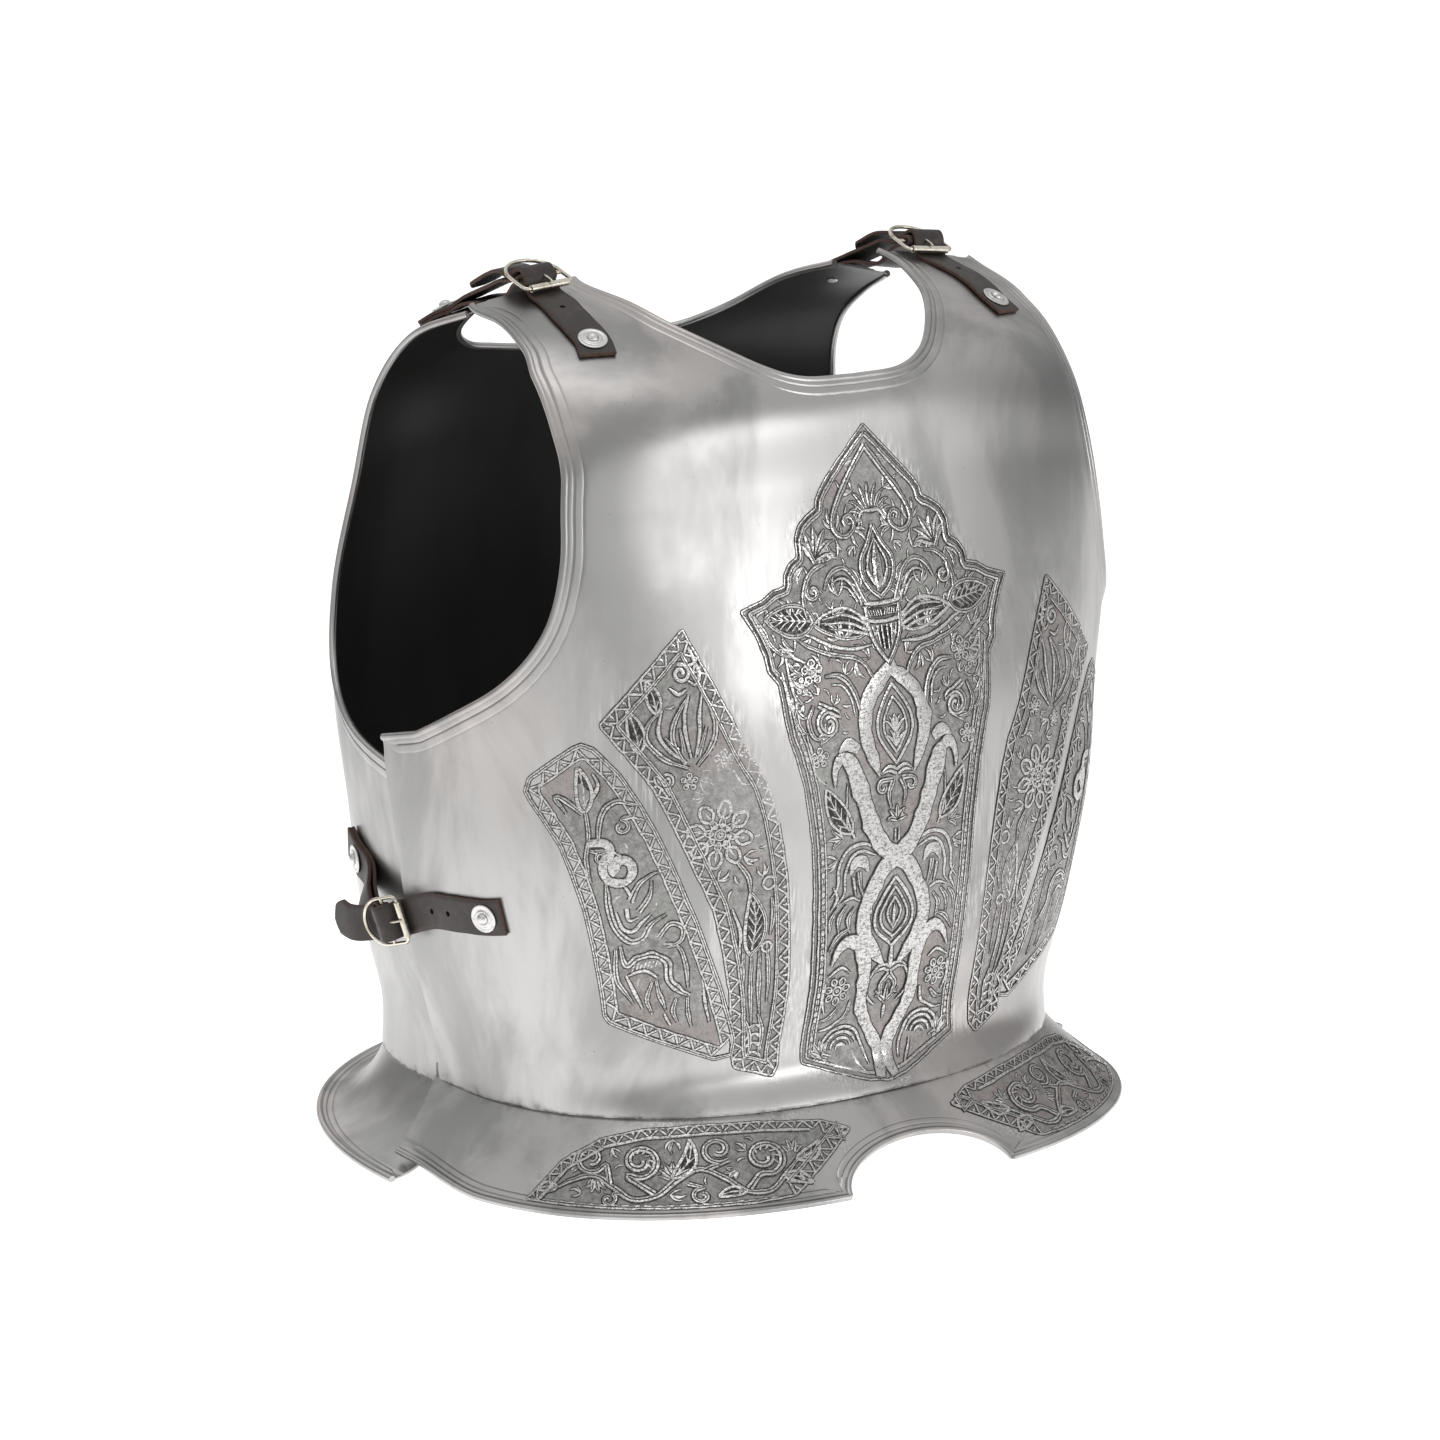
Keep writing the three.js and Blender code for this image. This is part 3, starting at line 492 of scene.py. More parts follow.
@dataclass(frozen=True)
class RolledEdge:
    """A rolled bead on a sheet's edge, with a sunk line beside it and a slight flare."""

    reach: float = 9.0
    flare: float = 0.75
    groove_at: float = 4.2
    groove: float = 0.5
    sides: int = 14

    def profile(self, shrink: float) -> Array:
        """Distance into the sheet and height over its face, from the face round to its back.

        Args:
            shrink: Share of the full reach and flare, less near the ends of an edge.

        Returns:
            Rows of distance and height.
        """
        into = np.array([9, 8.3, 7.2, 6.2, 5.4, 4.9, 4.5, 4.2, 3.9, 3.5, 3.0, 2.5, 2.0]) / 9
        into = into * (2 + (self.reach - 2) * shrink)
        into[-1] = 1.85
        rise = self.flare * shrink * (1 - into / self.reach) ** 1.2
        dip = self.groove * shrink * np.exp(-(((into - self.groove_at) / 0.42) ** 2))
        height = rise - dip + 0.05
        height[0] = -0.3
        bead = BEAD * heading(np.linspace(38, 330, self.sides)) - [0, PLATE / 2]
        return np.vstack([np.stack([into, height], -1), bead])

    def sweep(self, skin: Skin, surface: Surface, rise: Array, angle: Array, inwards: int) -> None:
        """Carry the profile along an edge of a surface.

        Args:
            skin: Where the edge goes.
            surface: The sheet.
            rise: Places up the sheet along its edge.
            angle: Places across the sheet along its edge.
            inwards: 1 when the sheet lies to the left of the edge as it runs, else -1.
        """
        edge = surface.points(rise, angle)
        into = unit(np.cross(surface.normals(rise, angle), unit(np.gradient(edge, axis=0)))) * inwards
        by_angle = (surface.points(rise, angle + 0.1) - surface.points(rise, angle - 0.1)) / 0.2
        by_rise = (surface.points(rise + 0.002, angle) - surface.points(rise - 0.002, angle)) / 0.004
        aa, ar, rr, ai, ri = (
            (one * two).sum(-1)[:, None] for one, two in
            ((by_angle, by_angle), (by_angle, by_rise), (by_rise, by_rise), (by_angle, into), (by_rise, into))
        )
        det = aa * rr - ar * ar
        run = lengths(edge)
        shrink = 0.25 + 0.75 * smoothstep(1, 14, np.minimum(run, run[-1] - run))
        columns = np.stack([self.profile(float(share)) for share in shrink])
        rows, across = columns.shape[:2]
        on_face = across - self.sides
        depth, height = columns[..., 0], columns[..., 1:]
        inside = np.clip(depth, 0, None) * (np.arange(across) < on_face)
        at_rise = rise[:, None] + (ri * aa - ai * ar) / det * inside
        at_angle = angle[:, None] + (ai * rr - ri * ar) / det * inside
        points = surface.points(at_rise, at_angle) + surface.normals(at_rise, at_angle) * height
        points = points + into[:, None] * (depth - inside)[..., None]
        faces = grid_faces(rows, across)
        if inwards * surface.facing > 0:
            faces = faces[:, ::-1]
        bead = list(range(on_face, across))
        far = np.full(depth.size, FAR)
        faces = faces.tolist() + [bead, [k + (rows - 1) * across for k in bead[::-1]]]
        skin.add(points, faces, etch=far, seam=far)


# ---------------------------------------------------------------- node building
def operator(operation: str, swapped: bool = False) -> Callable:
    """Make a Signal method that feeds a Math node.

    Args:
        operation: What the node does.
        swapped: Whether the other value comes first.

    Returns:
        The method.
    """
    def method(signal: "Signal", other: "Signal | float") -> "Signal":
        """Work the two values out in a Math node."""
        pair = (other, signal) if swapped else (signal, other)
        return signal.nodes.node("ShaderNodeMath", {"operation": operation}, dict(enumerate(pair)))

    return method


class Signal:
    """A socket that carries a value; arithmetic on it adds Math nodes."""

    __add__ = __radd__ = operator("ADD")
    __mul__ = __rmul__ = operator("MULTIPLY")
    __sub__ = operator("SUBTRACT")
    __rsub__ = operator("SUBTRACT", swapped=True)

    def __init__(self, nodes: "Nodes", socket: bpy.types.NodeSocket) -> None:
        """Wrap a socket of a tree."""
        self.nodes = nodes
        self.socket = socket

    def step(self, low: float, high: float) -> "Signal":
        """Ease from 0 at low to 1 at high; low may be the larger."""
        limits = {0: self, 1: min(low, high), 2: max(low, high)}
        eased = self.nodes.node("ShaderNodeMapRange", {"interpolation_type": "SMOOTHSTEP"}, limits)
        return eased if low < high else 1 - eased


class Nodes:
    """Builds the nodes of one shader tree."""

    def __init__(self, tree: bpy.types.NodeTree) -> None:
        """Start with an empty tree."""
        self.tree = tree
        tree.nodes.clear()

    def node(self, kind: str, settings: dict, inputs: dict, output: int | str = 0) -> Signal:
        """Add a node.

        Args:
            kind: Node type.
            settings: Properties to set before its sockets.
            inputs: Values or signals by socket name or number.
            output: Socket to return.

        Returns:
            The chosen output.
        """
        made = self.tree.nodes.new(kind)
        for name, value in settings.items():
            setattr(made, name, value)
        for key, value in inputs.items():
            if isinstance(value, Signal):
                self.tree.links.new(value.socket, made.inputs[key])
            else:
                made.inputs[key].default_value = value
        return Signal(self, made.outputs[output] if made.outputs else None)


class Paint(Nodes):
    """Builds the nodes of one material."""

    def __init__(self, name: str) -> None:
        """Start a material."""
        self.result = bpy.data.materials.new(name)
        self.result.use_nodes = True
        super().__init__(self.result.node_tree)

    def place(self) -> Signal:
        """Position on the piece in metres."""
        return self.node("ShaderNodeTexCoord", {}, {}, "Object")

    def mark(self, name: str) -> Signal:
        """A number kept on the mesh's points."""
        return self.node("ShaderNodeAttribute", {"attribute_name": name}, {}, "Fac")

    def stretch(self, vector: Signal, *scale: float) -> Signal:
        """Scale a vector by three numbers."""
        return self.node("ShaderNodeVectorMath", {"operation": "MULTIPLY"}, {0: vector, 1: scale})

    def noise(self, vector: Signal, scale: float, detail: float = 4, rough: float = 0.55,
              swirl: float = 0) -> Signal:
        """Cloudy noise from 0 to 1.

        Args:
            vector: Where it is read.
            scale: Clouds a metre.
            detail: Finer layers.
            rough: Strength of the finer layers.
            swirl: How far it is distorted.

        Returns:
            The noise.
        """
        inputs = {"Vector": vector, "Scale": scale, "Detail": detail, "Roughness": rough, "Distortion": swirl}
        return self.node("ShaderNodeTexNoise", {}, inputs)

    def cells(self, vector: Signal, scale: float) -> Signal:
        """Distance to the nearest of scattered points."""
        return self.node("ShaderNodeTexVoronoi", {}, {"Vector": vector, "Scale": scale})

    def blend(self, factor: Signal, first: Signal | Point, second: Signal | Point) -> Signal:
        """Mix two colours.

        Args:
            factor: 0 for the first, 1 for the second.
            first: Colour as a signal or three numbers.
            second: Colour as a signal or three numbers.

        Returns:
            The mixed colour.
        """
        one, two = (c if isinstance(c, Signal) else (*c, 1) for c in (first, second))
        return self.node("ShaderNodeMix", {"data_type": "RGBA"}, {0: factor, 6: one, 7: two}, 2)

    def relief(self, height: Signal, distance: float, strength: float) -> dict[str, Signal]:
        """Turn a height into the shader's normal.

        Args:
            height: Height from 0 to 1.
            distance: Metres of full height.
            strength: Share of the effect.

        Returns:
            The shader's input.
        """
        inputs = {"Strength": strength, "Distance": distance, "Height": height}
        return {"Normal": self.node("ShaderNodeBump", {}, inputs)}

    def close(self, colour: Signal, rough: Signal | float, metal: float, more: dict) -> bpy.types.Material:
        """End the tree with its surface shader.

        Args:
            colour: Base colour.
            rough: Roughness.
            metal: 1 for bare metal, 0 for anything else.
            more: Other inputs of the shader.

        Returns:
            The material.
        """
        inputs = {"Base Color": colour, "Metallic": metal, "Roughness": rough, **more}
        surface = self.node("ShaderNodeBsdfPrincipled", {}, inputs)
        self.node("ShaderNodeOutputMaterial", {}, {"Surface": surface})
        return self.result


# ---------------------------------------------------------------- finishes
class Finish:
    """A finish; its material is made once."""

    made: dict = {}
    name: str
    slot = "steel"

    def material(self) -> bpy.types.Material:
        """The finish as a material."""
        if self not in Finish.made:
            p = Paint(self.name)
            Finish.made[self] = self.paint(p, p.place())
        return Finish.made[self]

    def paint(self, p: Paint, at: Signal) -> bpy.types.Material:
        """Build the material."""
        raise NotImplementedError


@dataclass(frozen=True)
class PolishedSteel(Finish):
    """Sheet steel rubbed bright by hand: cloudy sheen, fine specks, painted shade along the seams, etched
    panels.
    """

    name = "polished_steel"
    tone: Point = (0.44, 0.434, 0.428)
    warm: Point = (0.45, 0.419, 0.406)
    dull: Point = (0.3, 0.297, 0.294)
    rubbed: Point = (0.62, 0.615, 0.61)
    # Dark of the specks, and painted shade along the seams.
    speck_and_seam_shade: Point = (0.06, 0.052, 0.045)
    rough: float = 0.22
    ground: Point = (0.37, 0.362, 0.352)
    ground_dark: Point = (0.2, 0.195, 0.188)
    ground_worn: Point = (0.4, 0.392, 0.385)
    ground_pink: Point = (0.33, 0.275, 0.265)
    ground_green: Point = (0.27, 0.29, 0.265)
    pitted: Point = (0.05, 0.048, 0.046)

    def paint(self, p: Paint, at: Signal) -> bpy.types.Material:
        """Build the material."""
        ragged = p.mark("etch") + (p.noise(at, 300, 3, 0.7) - 0.5) * 2.6
        etched = ragged.step(0.3, -0.3)
        clouds = p.noise(p.stretch(at, 1, 1, 0.4), 13, 5, 0.6, 0.6)
        wisps = p.noise(p.stretch(at, 1, 1, 0.35), 34, 4, 0.62, 1.2)
        rubbed = p.noise(p.stretch(at, 1, 1, 0.06), 420, 3, 0.6)
        grain = p.noise(at, 1500, 2, 0.7)
        speck = p.cells(at, 190).step(0.075, 0.03) * p.noise(at, 45, 2).step(0.5, 0.62)
        tint = p.blend(p.noise(at, 5, 3).step(0.48, 0.66), self.tone, self.warm)
        shade = p.blend(clouds.step(0.4, 0.64), tint, self.dull)
        seam = p.mark("seam")
        # Painted shade: the colour darkens along the waist seam, where a plate's edge overlaps its flange,
        # nearly black within 1.6 mm and in blots up to 7 mm out.
        seam_shade_blots = p.noise(at, 70, 4, 0.7).step(0.5, 0.72) * seam.step(7, 0.4)
        seam_shade = (seam.step(1.6, 0.2) * p.noise(at, 120, 3).step(0.3, 0.65)) * 0.75 + seam_shade_blots * 0.55
        beside = p.mark("etch").step(10, 1) * p.noise(at, 30, 3).step(0.42, 0.6)
        scratches = p.noise(p.stretch(at, 1, 1, 0.05), 900, 2, 0.6)
        shade = p.blend(beside * scratches.step(0.52, 0.6) * 0.55, shade, self.rubbed)
        shade = p.blend(beside * scratches.step(0.46, 0.4) * 0.35, shade, self.ground_dark)
        shade = p.blend(speck * 0.65, shade, self.speck_and_seam_shade)
        # Painted shade along the seam.
        shade = p.blend(seam_shade * 0.9, shade, self.speck_and_seam_shade)
        mottle = p.noise(at, 260, 4, 0.75)
        pits = p.noise(at, 900, 2, 0.7).step(0.5, 0.68)
        tinge = p.noise(at, 16, 2)
        floor = p.blend(mottle.step(0.35, 0.68), self.ground_dark, self.ground)
        floor = p.blend(p.noise(at, 24, 3).step(0.4, 0.7) * 0.5, floor, self.ground_worn)
        floor = p.blend(tinge.step(0.54, 0.64) * 0.4, floor, self.ground_pink)
        floor = p.blend(tinge.step(0.44, 0.36) * 0.35, floor, self.ground_green)
        floor = p.blend(pits * 0.35, floor, self.pitted)
        rough = self.rough + clouds * 0.1 + wisps * 0.1 + rubbed * 0.04 + seam_shade * 0.25
        rough = rough + etched * (0.17 + mottle * 0.12)
        height = rubbed * 0.25 + grain * 0.12 + etched * (mottle * 1.2 + pits * -0.6)
        return p.close(p.blend(etched, shade, floor), rough, 1, p.relief(height, 0.00006, 0.6))


@dataclass(frozen=True)
class BrightLine(Finish):
    """The lines an etcher leaves standing: bright, broken by small pits."""

    name = "bright_line"
    tone: Point = (0.54, 0.534, 0.526)
    dark: Point = (0.2, 0.195, 0.19)

    def paint(self, p: Paint, at: Signal) -> bpy.types.Material:
        """Build the material."""
        hatch = p.noise(p.stretch(at, 1, 1, 3.2), 330, 3, 0.7)
        pits = p.noise(at, 800, 2, 0.75)
        worn = hatch.step(0.5, 0.6) * 0.6 + pits.step(0.5, 0.6) * 0.6
        relief = p.relief(hatch * 0.5 + pits * 0.5, 0.00009, 0.7)
        return p.close(p.blend(worn, self.tone, self.dark), 0.26 + worn * 0.3, 1, relief)


@dataclass(frozen=True)
class EtchedLine(Finish):
    """Deep etched lines, dark with old blacking."""

    name = "etched_line"
    tone: Point = (0.04, 0.038, 0.036)
    worn: Point = (0.2, 0.195, 0.19)

    def paint(self, p: Paint, at: Signal) -> bpy.types.Material:
        """Build the material."""
        grains = p.noise(at, 620, 3, 0.7)
        colour = p.blend(grains.step(0.45, 0.7), self.tone, self.worn)
        return p.close(colour, 0.5 + grains * 0.2, 0.85, p.relief(grains, 0.00012, 0.8))


@dataclass(frozen=True)
class BlackPaint(Finish):
    """Black paint on the inside, slightly glossy and brushed on thinly."""

    name = "black_paint"
    tone: Point = (0.0075, 0.0072, 0.007)
    dusty: Point = (0.08, 0.075, 0.07)

    def paint(self, p: Paint, at: Signal) -> bpy.types.Material:
        """Build the material."""
        flow = p.noise(p.stretch(at, 1, 1, 0.3), 60, 4, 0.6)
        colour = p.blend(p.cells(at, 120).step(0.07, 0.02) * 0.5, self.tone, self.dusty)
        relief = p.relief(flow + p.noise(at, 500, 3) * 0.3, 0.00025, 0.5)
        return p.close(colour, 0.3 + flow * 0.16, 0, relief)


@dataclass(frozen=True)
class StrapLeather(Finish):
    """Dark oiled strap leather with a raw brown cut edge."""

    name = "strap_leather"
    slot = "leather"
    tone: Point = (0.022, 0.016, 0.014)
    rubbed: Point = (0.06, 0.042, 0.035)
    cut: Point = (0.045, 0.022, 0.016)
    cut_pale: Point = (0.09, 0.045, 0.032)

    def paint(self, p: Paint, at: Signal) -> bpy.types.Material:
        """Build the material."""
        raw = p.mark("raw")
        folds = p.noise(at, 240, 4, 0.65, 0.5)
        fibres = p.noise(at, 900, 3, 0.7)
        face = p.blend(p.noise(at, 90, 4, 0.6).step(0.5, 0.75) * 0.7, self.tone, self.rubbed)
        side = p.blend(fibres.step(0.35, 0.7), self.cut, self.cut_pale)
        rough = 0.42 + folds * 0.18 + raw * 0.22
        height = p.cells(at, 1100) * 0.35 + folds * 0.65 + fibres * 0.2
        return p.close(p.blend(raw.step(0.35, 0.75), face, side), rough, 0, p.relief(height, 0.00022, 0.7))


@dataclass(frozen=True)
class NickelWire(Finish):
    """Nickel plate gone slightly yellow, on buckle wire."""

    name = "nickel_wire"
    slot = "brass"
    tone: Point = (0.66, 0.62, 0.54)
    tarnish: Point = (0.42, 0.36, 0.27)

    def paint(self, p: Paint, at: Signal) -> bpy.types.Material:
        """Build the material."""
        dull = p.noise(at, 160, 4, 0.6)
        scuffs = p.noise(p.stretch(at, 1, 0.2, 1), 900, 3, 0.6)
        colour = p.blend(dull.step(0.48, 0.74), self.tone, self.tarnish)
        return p.close(colour, 0.2 + dull * 0.14, 1, p.relief(scuffs, 0.00005, 0.6))


@dataclass(frozen=True)
class RivetSteel(Finish):
    """Bright zinc-grey rivets and washers with dull rings."""

    name = "rivet_steel"
    slot = "rivet_steel"
    tone: Point = (0.62, 0.616, 0.605)
    dull: Point = (0.42, 0.41, 0.39)

    def paint(self, p: Paint, at: Signal) -> bpy.types.Material:
        """Build the material."""
        dull = p.noise(at, 380, 4, 0.65)
        colour = p.blend(dull.step(0.5, 0.76), self.tone, self.dull)
        return p.close(colour, 0.27 + dull * 0.16, 1, p.relief(dull, 0.0001, 0.7))


STEEL, BRIGHT, DARK, BLACK = PolishedSteel(), BrightLine(), EtchedLine(), BlackPaint()
LEATHER, NICKEL, RIVETS = StrapLeather(), NickelWire(), RivetSteel()


# ---------------------------------------------------------------- plates and flanges
def waver(points: Array, amount: float, seed: int) -> Array:
    """Soft unevenness of hammered sheet.

    Args:
        points: Places as rows of three numbers.
        amount: Largest height.
        seed: Which unevenness.

    Returns:
        A height for each place.
    """
    chance = np.random.default_rng(seed)
    height = np.zeros(points.shape[:-1])
    for _ in range(14):
        ways = chance.normal(size=3)
        ways *= 2 * np.pi / (np.linalg.norm(ways) * chance.uniform(55, 150))
        height += np.sin(points @ ways + chance.uniform(0, 2 * np.pi))
    return height * amount / 5


@dataclass
class Sheet:
    """A steel sheet, painted inside, with rolled edges and, under the panels, an etched ground."""

    node: str
    form: Surface
    seed: int
    panels: "BreastPanels | FlangePanels | None" = None
    edge: RolledEdge = RolledEdge()
    tuck: Point = (9.2, 8.2)
    uneven: float = 0.22
    fade: float = 24
    still_to: float = -1

    def rims(self) -> list[tuple[Array, Array, int]]:
        """Rise, angle and inward side of each rolled edge."""
        raise NotImplementedError

    def cover(self, skin: Skin, rims: Array) -> None:
        """Add both faces of the sheet, given the points along its rolled edges."""
        raise NotImplementedError

    def etched(self, face: Array, rise: Array, angle: Array) -> Array:
        """Distance of places on the face to the nearest panel's edge, negative inside."""
        raise NotImplementedError

    def lay(self, skin: Skin, rims: Array, rise: Array, angle: Array, foot: tuple, ends: tuple,
            turned: bool) -> None:
        """Add both faces of a stretch of sheet, and the strips that close its ends.

        Args:
            skin: Where they go.
            rims: Points along the rolled edges.
            rise: Places up the sheet.
            angle: Places across it.
            foot: Which of the places touch the next sheet.
            ends: Lines of places to close, in order round the sheet.
            turned: Whether the faces are numbered the other way round.
        """
        points, normals = self.form.points(rise, angle), self.form.normals(rise, angle)
        near = np.stack([np.sqrt(((row[:, None] - rims) ** 2).sum(-1).min(1)) for row in points])
        moving = rise > self.still_to
        flat = smoothstep(*self.tuck, near) * TUCK
        uneven = waver(points, self.uneven, self.seed) * smoothstep(2, self.fade, near) * moving
        face = points + normals * (uneven - flat)[..., None]
        back = points - normals * (PLATE - uneven)[..., None]
        far = np.full(near.shape, FAR)
        etch = self.etched(face, rise, angle) if self.panels else far
        seam = np.linalg.norm(points - points[foot], axis=-1) * moving
        numbers = np.arange(near.size).reshape(near.shape)
        strips = [[b, a, a + near.size, b + near.size] for line in ends
                  for a, b in zip(numbers[line][:-1], numbers[line][1:])]
        outside = grid_faces(*near.shape)
        if turned:
            outside, strips = outside[:, ::-1], [strip[::-1] for strip in strips]
        faces = [*outside, *(outside + near.size)[:, ::-1], *strips]
        slots = [0] * len(outside) + [1] * len(outside) + [0] * len(strips)
        skin.add([face, back], faces, slots, etch=np.stack([etch, far]), seam=np.stack([seam, far]))

    def build(self) -> bpy.types.Object:
        """Make the sheet and take its node's place."""
        runs = self.rims()
        skin = Skin()
        self.cover(skin, np.vstack([self.form.points(rise, angle) for rise, angle, _ in runs]))
        for rise, angle, inwards in runs:
            self.edge.sweep(skin, self.form, rise, angle, inwards)
        return adopt(skin.build(f"{self.node}_sheet", [STEEL, BLACK], 38), STEEL, self.node)


@dataclass
class BodyPlate(Sheet):
    """A body plate, with rolled neck and arm edges."""

    rows: int = 170
    columns: int = 92

    def rims(self) -> list[tuple[Array, Array, int]]:
        """Rise, angle and inward side of the neck and arm edges."""
        form = self.form
        neck = table_curve(form.neck, np.linspace(0, len(form.neck) - 1, 130))
        neck = np.vstack([neck[::-1] * [-1, 1], neck[1:]])
        arm = table_curve(form.arm, np.linspace(0, len(form.arm) - 1, 260))
        return [(neck[:, 1], neck[:, 0], -form.facing)] + [
            (arm[:, 1], arm[:, 0] * side, side * form.facing) for side in (1, -1)
        ]

    def etched(self, face: Array, rise: Array, angle: Array) -> Array:
        """Distance of places on the face to the nearest panel's edge, negative inside."""
        return self.panels.depth(face)

    def cover(self, skin: Skin, rims: Array) -> None:
        """Add both faces of the sheet, given the points along its rolled edges."""
        form = self.form
        inner, outer = form.edges(np.linspace(0, form.all_rows, self.rows + 1))
        across = np.linspace(0, 1, self.columns + 1)[:, None]
        angle, level = np.moveaxis(inner[:, None] + (outer - inner)[:, None] * across, -1, 0)
        start = int(round(self.rows * form.centre_rows / form.all_rows))
        ends = np.s_[0], np.s_[-1, ::-1], np.s_[::-1, -1], np.s_[start:, 0]
        for side in (1, -1):
            self.lay(skin, rims, level, side * angle, np.s_[:1], ends, side * form.facing < 0)


@dataclass
class WaistFlange(Sheet):
    """A flared flange with its lip inside the plate and a rolled rim."""

    edge: RolledEdge = RolledEdge(reach=7.5, flare=0.6)
    tuck: Point = (7.7, 6.8)
    uneven: float = 0.14
    fade: float = 16
    still_to: float = 0

    def across(self, half: int, arch: int, whole: int) -> tuple[Array, ...]:
        """Places round the flange in degrees, closer together in the arch.

        Args:
            half: Places from the arch to each end.
            arch: Places across the arch.
            whole: Places of a flange without an arch.

        Returns:
            The left side, the right side and the arch, or the whole flange.
        """
        form = self.form
        if not form.arch_rise:
            return (np.linspace(-form.reach, form.reach, whole),)
        left = np.linspace(form.arch_angle, form.reach, half)
        return left, -left[::-1], form.arch_angle * np.sin(np.linspace(-np.pi / 2, np.pi / 2, arch))

    def rims(self) -> list[tuple[Array, Array, int]]:
        """Rise, angle and inward side of the rim's runs."""
        runs = self.across(210, 120, 420)
        return [(self.form.end(angle), angle, self.form.plate.facing) for angle in runs]

    def etched(self, face: Array, rise: Array, angle: Array) -> Array:
        """Distance of places on the face to the nearest panel's edge, negative inside."""
        return self.panels.depth(rise, angle)

    def cover(self, skin: Skin, rims: Array) -> None:
        """Add both faces of the sheet, given the points along its rolled edges."""
        lip = np.linspace(-1, 0, 5)[:-1]
        flare = 1 - (1 - np.linspace(0, 1, 44)) ** 1.5
        angle = np.unique(np.concatenate(self.across(92, 41, 231)))[:, None]
        rise = np.concatenate([np.broadcast_to(lip, (len(angle), 4)), flare * self.form.end(angle)], 1)
        ends = np.s_[0], np.s_[-1, ::-1], np.s_[:, -1], np.s_[::-1, 0]
        angle = np.broadcast_to(angle, rise.shape)
        self.lay(skin, rims, rise, angle, np.s_[:, 4:5], ends, self.form.plate.facing < 0)


# ---------------------------------------------------------------- etched work
class Ink(Enum):
    """What a stroke is: metal left standing, or an etched-out line."""

    BRIGHT = 0
    DARK = 1


class Chart:
    """A flat map of the breast: millimetres round from the centre line, and height."""

    def __init__(self, form: PlateForm, low: float = 38, high: float = 402, step: float = 2) -> None:
        """Measure the plate.

        Args:
            form: The plate.
            low: Lowest height.
            high: Greatest height.
            step: Millimetres between the map's stations.
        """
        self.low, self.step = low, step
        level, angle = np.meshgrid(np.linspace(-0.2, 9, 461), np.linspace(0, 97, 195))
        heights = np.arange(low, high + 0.1, step)
        self.reach = np.arange(0, 300.1, step)
        rows = np.stack([
            np.stack([np.interp(heights, line[:, 2], column) for column in line.T], -1)
            for line in form.points(level, angle)
        ], 1)
        self.grid = np.stack([spots_on(row, self.reach) for row in rows])

    def cell(self, along: Array, count: int) -> tuple[Array, Array]:
        """Whole station numbers and the shares past them, for distances along the map."""
        at = np.clip(along / self.step, 0, count - 1.001)
        return at.astype(int), (at % 1)[..., None]

    def points(self, flat: Array) -> Array:
        """Points of the outer face, at places of the map."""
        i, up = self.cell(flat[..., 1] - self.low, len(self.grid))
        j, out = self.cell(np.abs(flat[..., 0]), len(self.reach))
        g = self.grid
        low, high = (g[k, j] * (1 - out) + g[k, j + 1] * out for k in (i, i + 1))
        found = low * (1 - up) + high * up
        found[..., 0] *= np.where(flat[..., 0] < 0, -1, 1)
        return found

    def normals(self, flat: Array) -> Array:
        """Outward normals at places of the map."""
        across = self.points(flat + [1.5, 0]) - self.points(flat - [1.5, 0])
        up = self.points(flat + [0, 1.5]) - self.points(flat - [0, 1.5])
        return unit(np.cross(across, up))

    def flat(self, points: Array) -> Array:
        """Map points of the outer face: distance round, without sign, and height."""
        i, up = self.cell(points[..., 2] - self.low, len(self.grid))
        out = np.zeros(points.shape[:-1])
        lines = np.maximum.accumulate(self.grid[..., 0], axis=1)
        for row in np.unique(i):
            here = i == row
            x, part = np.abs(points[..., 0][here]), up[here][:, 0]
            low, high = (np.interp(x, line, self.reach) for line in lines[row:row + 2])
            out[here] = low * (1 - part) + high * part
        return np.stack([out, points[..., 2]], -1)


def outline_depth(flat: Array, outline: Array) -> Array:
    """Signed distance to an outline: negative inside.

    Args:
        flat: Places on a map.
        outline: Corners of the closed outline.

    Returns:
        Distances in the map's unit.
    """
    spots = flat.reshape(-1, 2)
    best = np.full(len(spots), 1e9)
    inside = np.zeros(len(spots), bool)
    for a, b in zip(outline, np.roll(outline, -1, 0)):
        way = b - a
        t = np.clip(((spots - a) @ way) / (way @ way + 1e-9), 0, 1)
        best = np.minimum(best, np.linalg.norm(spots - a - t[:, None] * way, axis=1))
        spans = (a[1] > spots[:, 1]) != (b[1] > spots[:, 1])
        inside ^= spans & (spots[:, 0] < a[0] + (spots[:, 1] - a[1]) / (way[1] + 1e-12) * way[0])
    return np.where(inside, -best, best).reshape(flat.shape[:-1])


def inset(outline: Array, distance: float, step: float = 1.5, closed: bool = True) -> Array:
    """Move a line inwards, to its left as it runs.

    Args:
        outline: Corners.
        distance: How far.
        step: Millimetres between the new points.
        closed: Whether the line joins its start.

    Returns:
        Points of the moved line.
    """
    corners = np.vstack([outline, outline[:1]]) if closed else outline
    length = lengths(corners)[-1]
    points = spots_on(corners, np.linspace(0, length, max(int(length / step), 3) + 1))
    if not closed:
        return points + left_of(unit(np.gradient(points, axis=0))) * distance
    way = np.roll(points[:-1], -1, 0) - np.roll(points[:-1], 1, 0)
    moved = points + left_of(unit(np.vstack([way, way[:1]]))) * distance
    return moved[np.abs(outline_depth(moved, outline)) > abs(distance) * 0.93]


def looped(line: Array) -> Array:
    """A line that ends where it starts."""
    return np.vstack([line, line[:1]])


@dataclass(frozen=True, eq=False)
class Stroke:
    """One line of etched work on a map."""

    stops: Array
    widths: tuple[float, ...]
    layer: int
    casing: float
    ink: Ink
    straight: bool


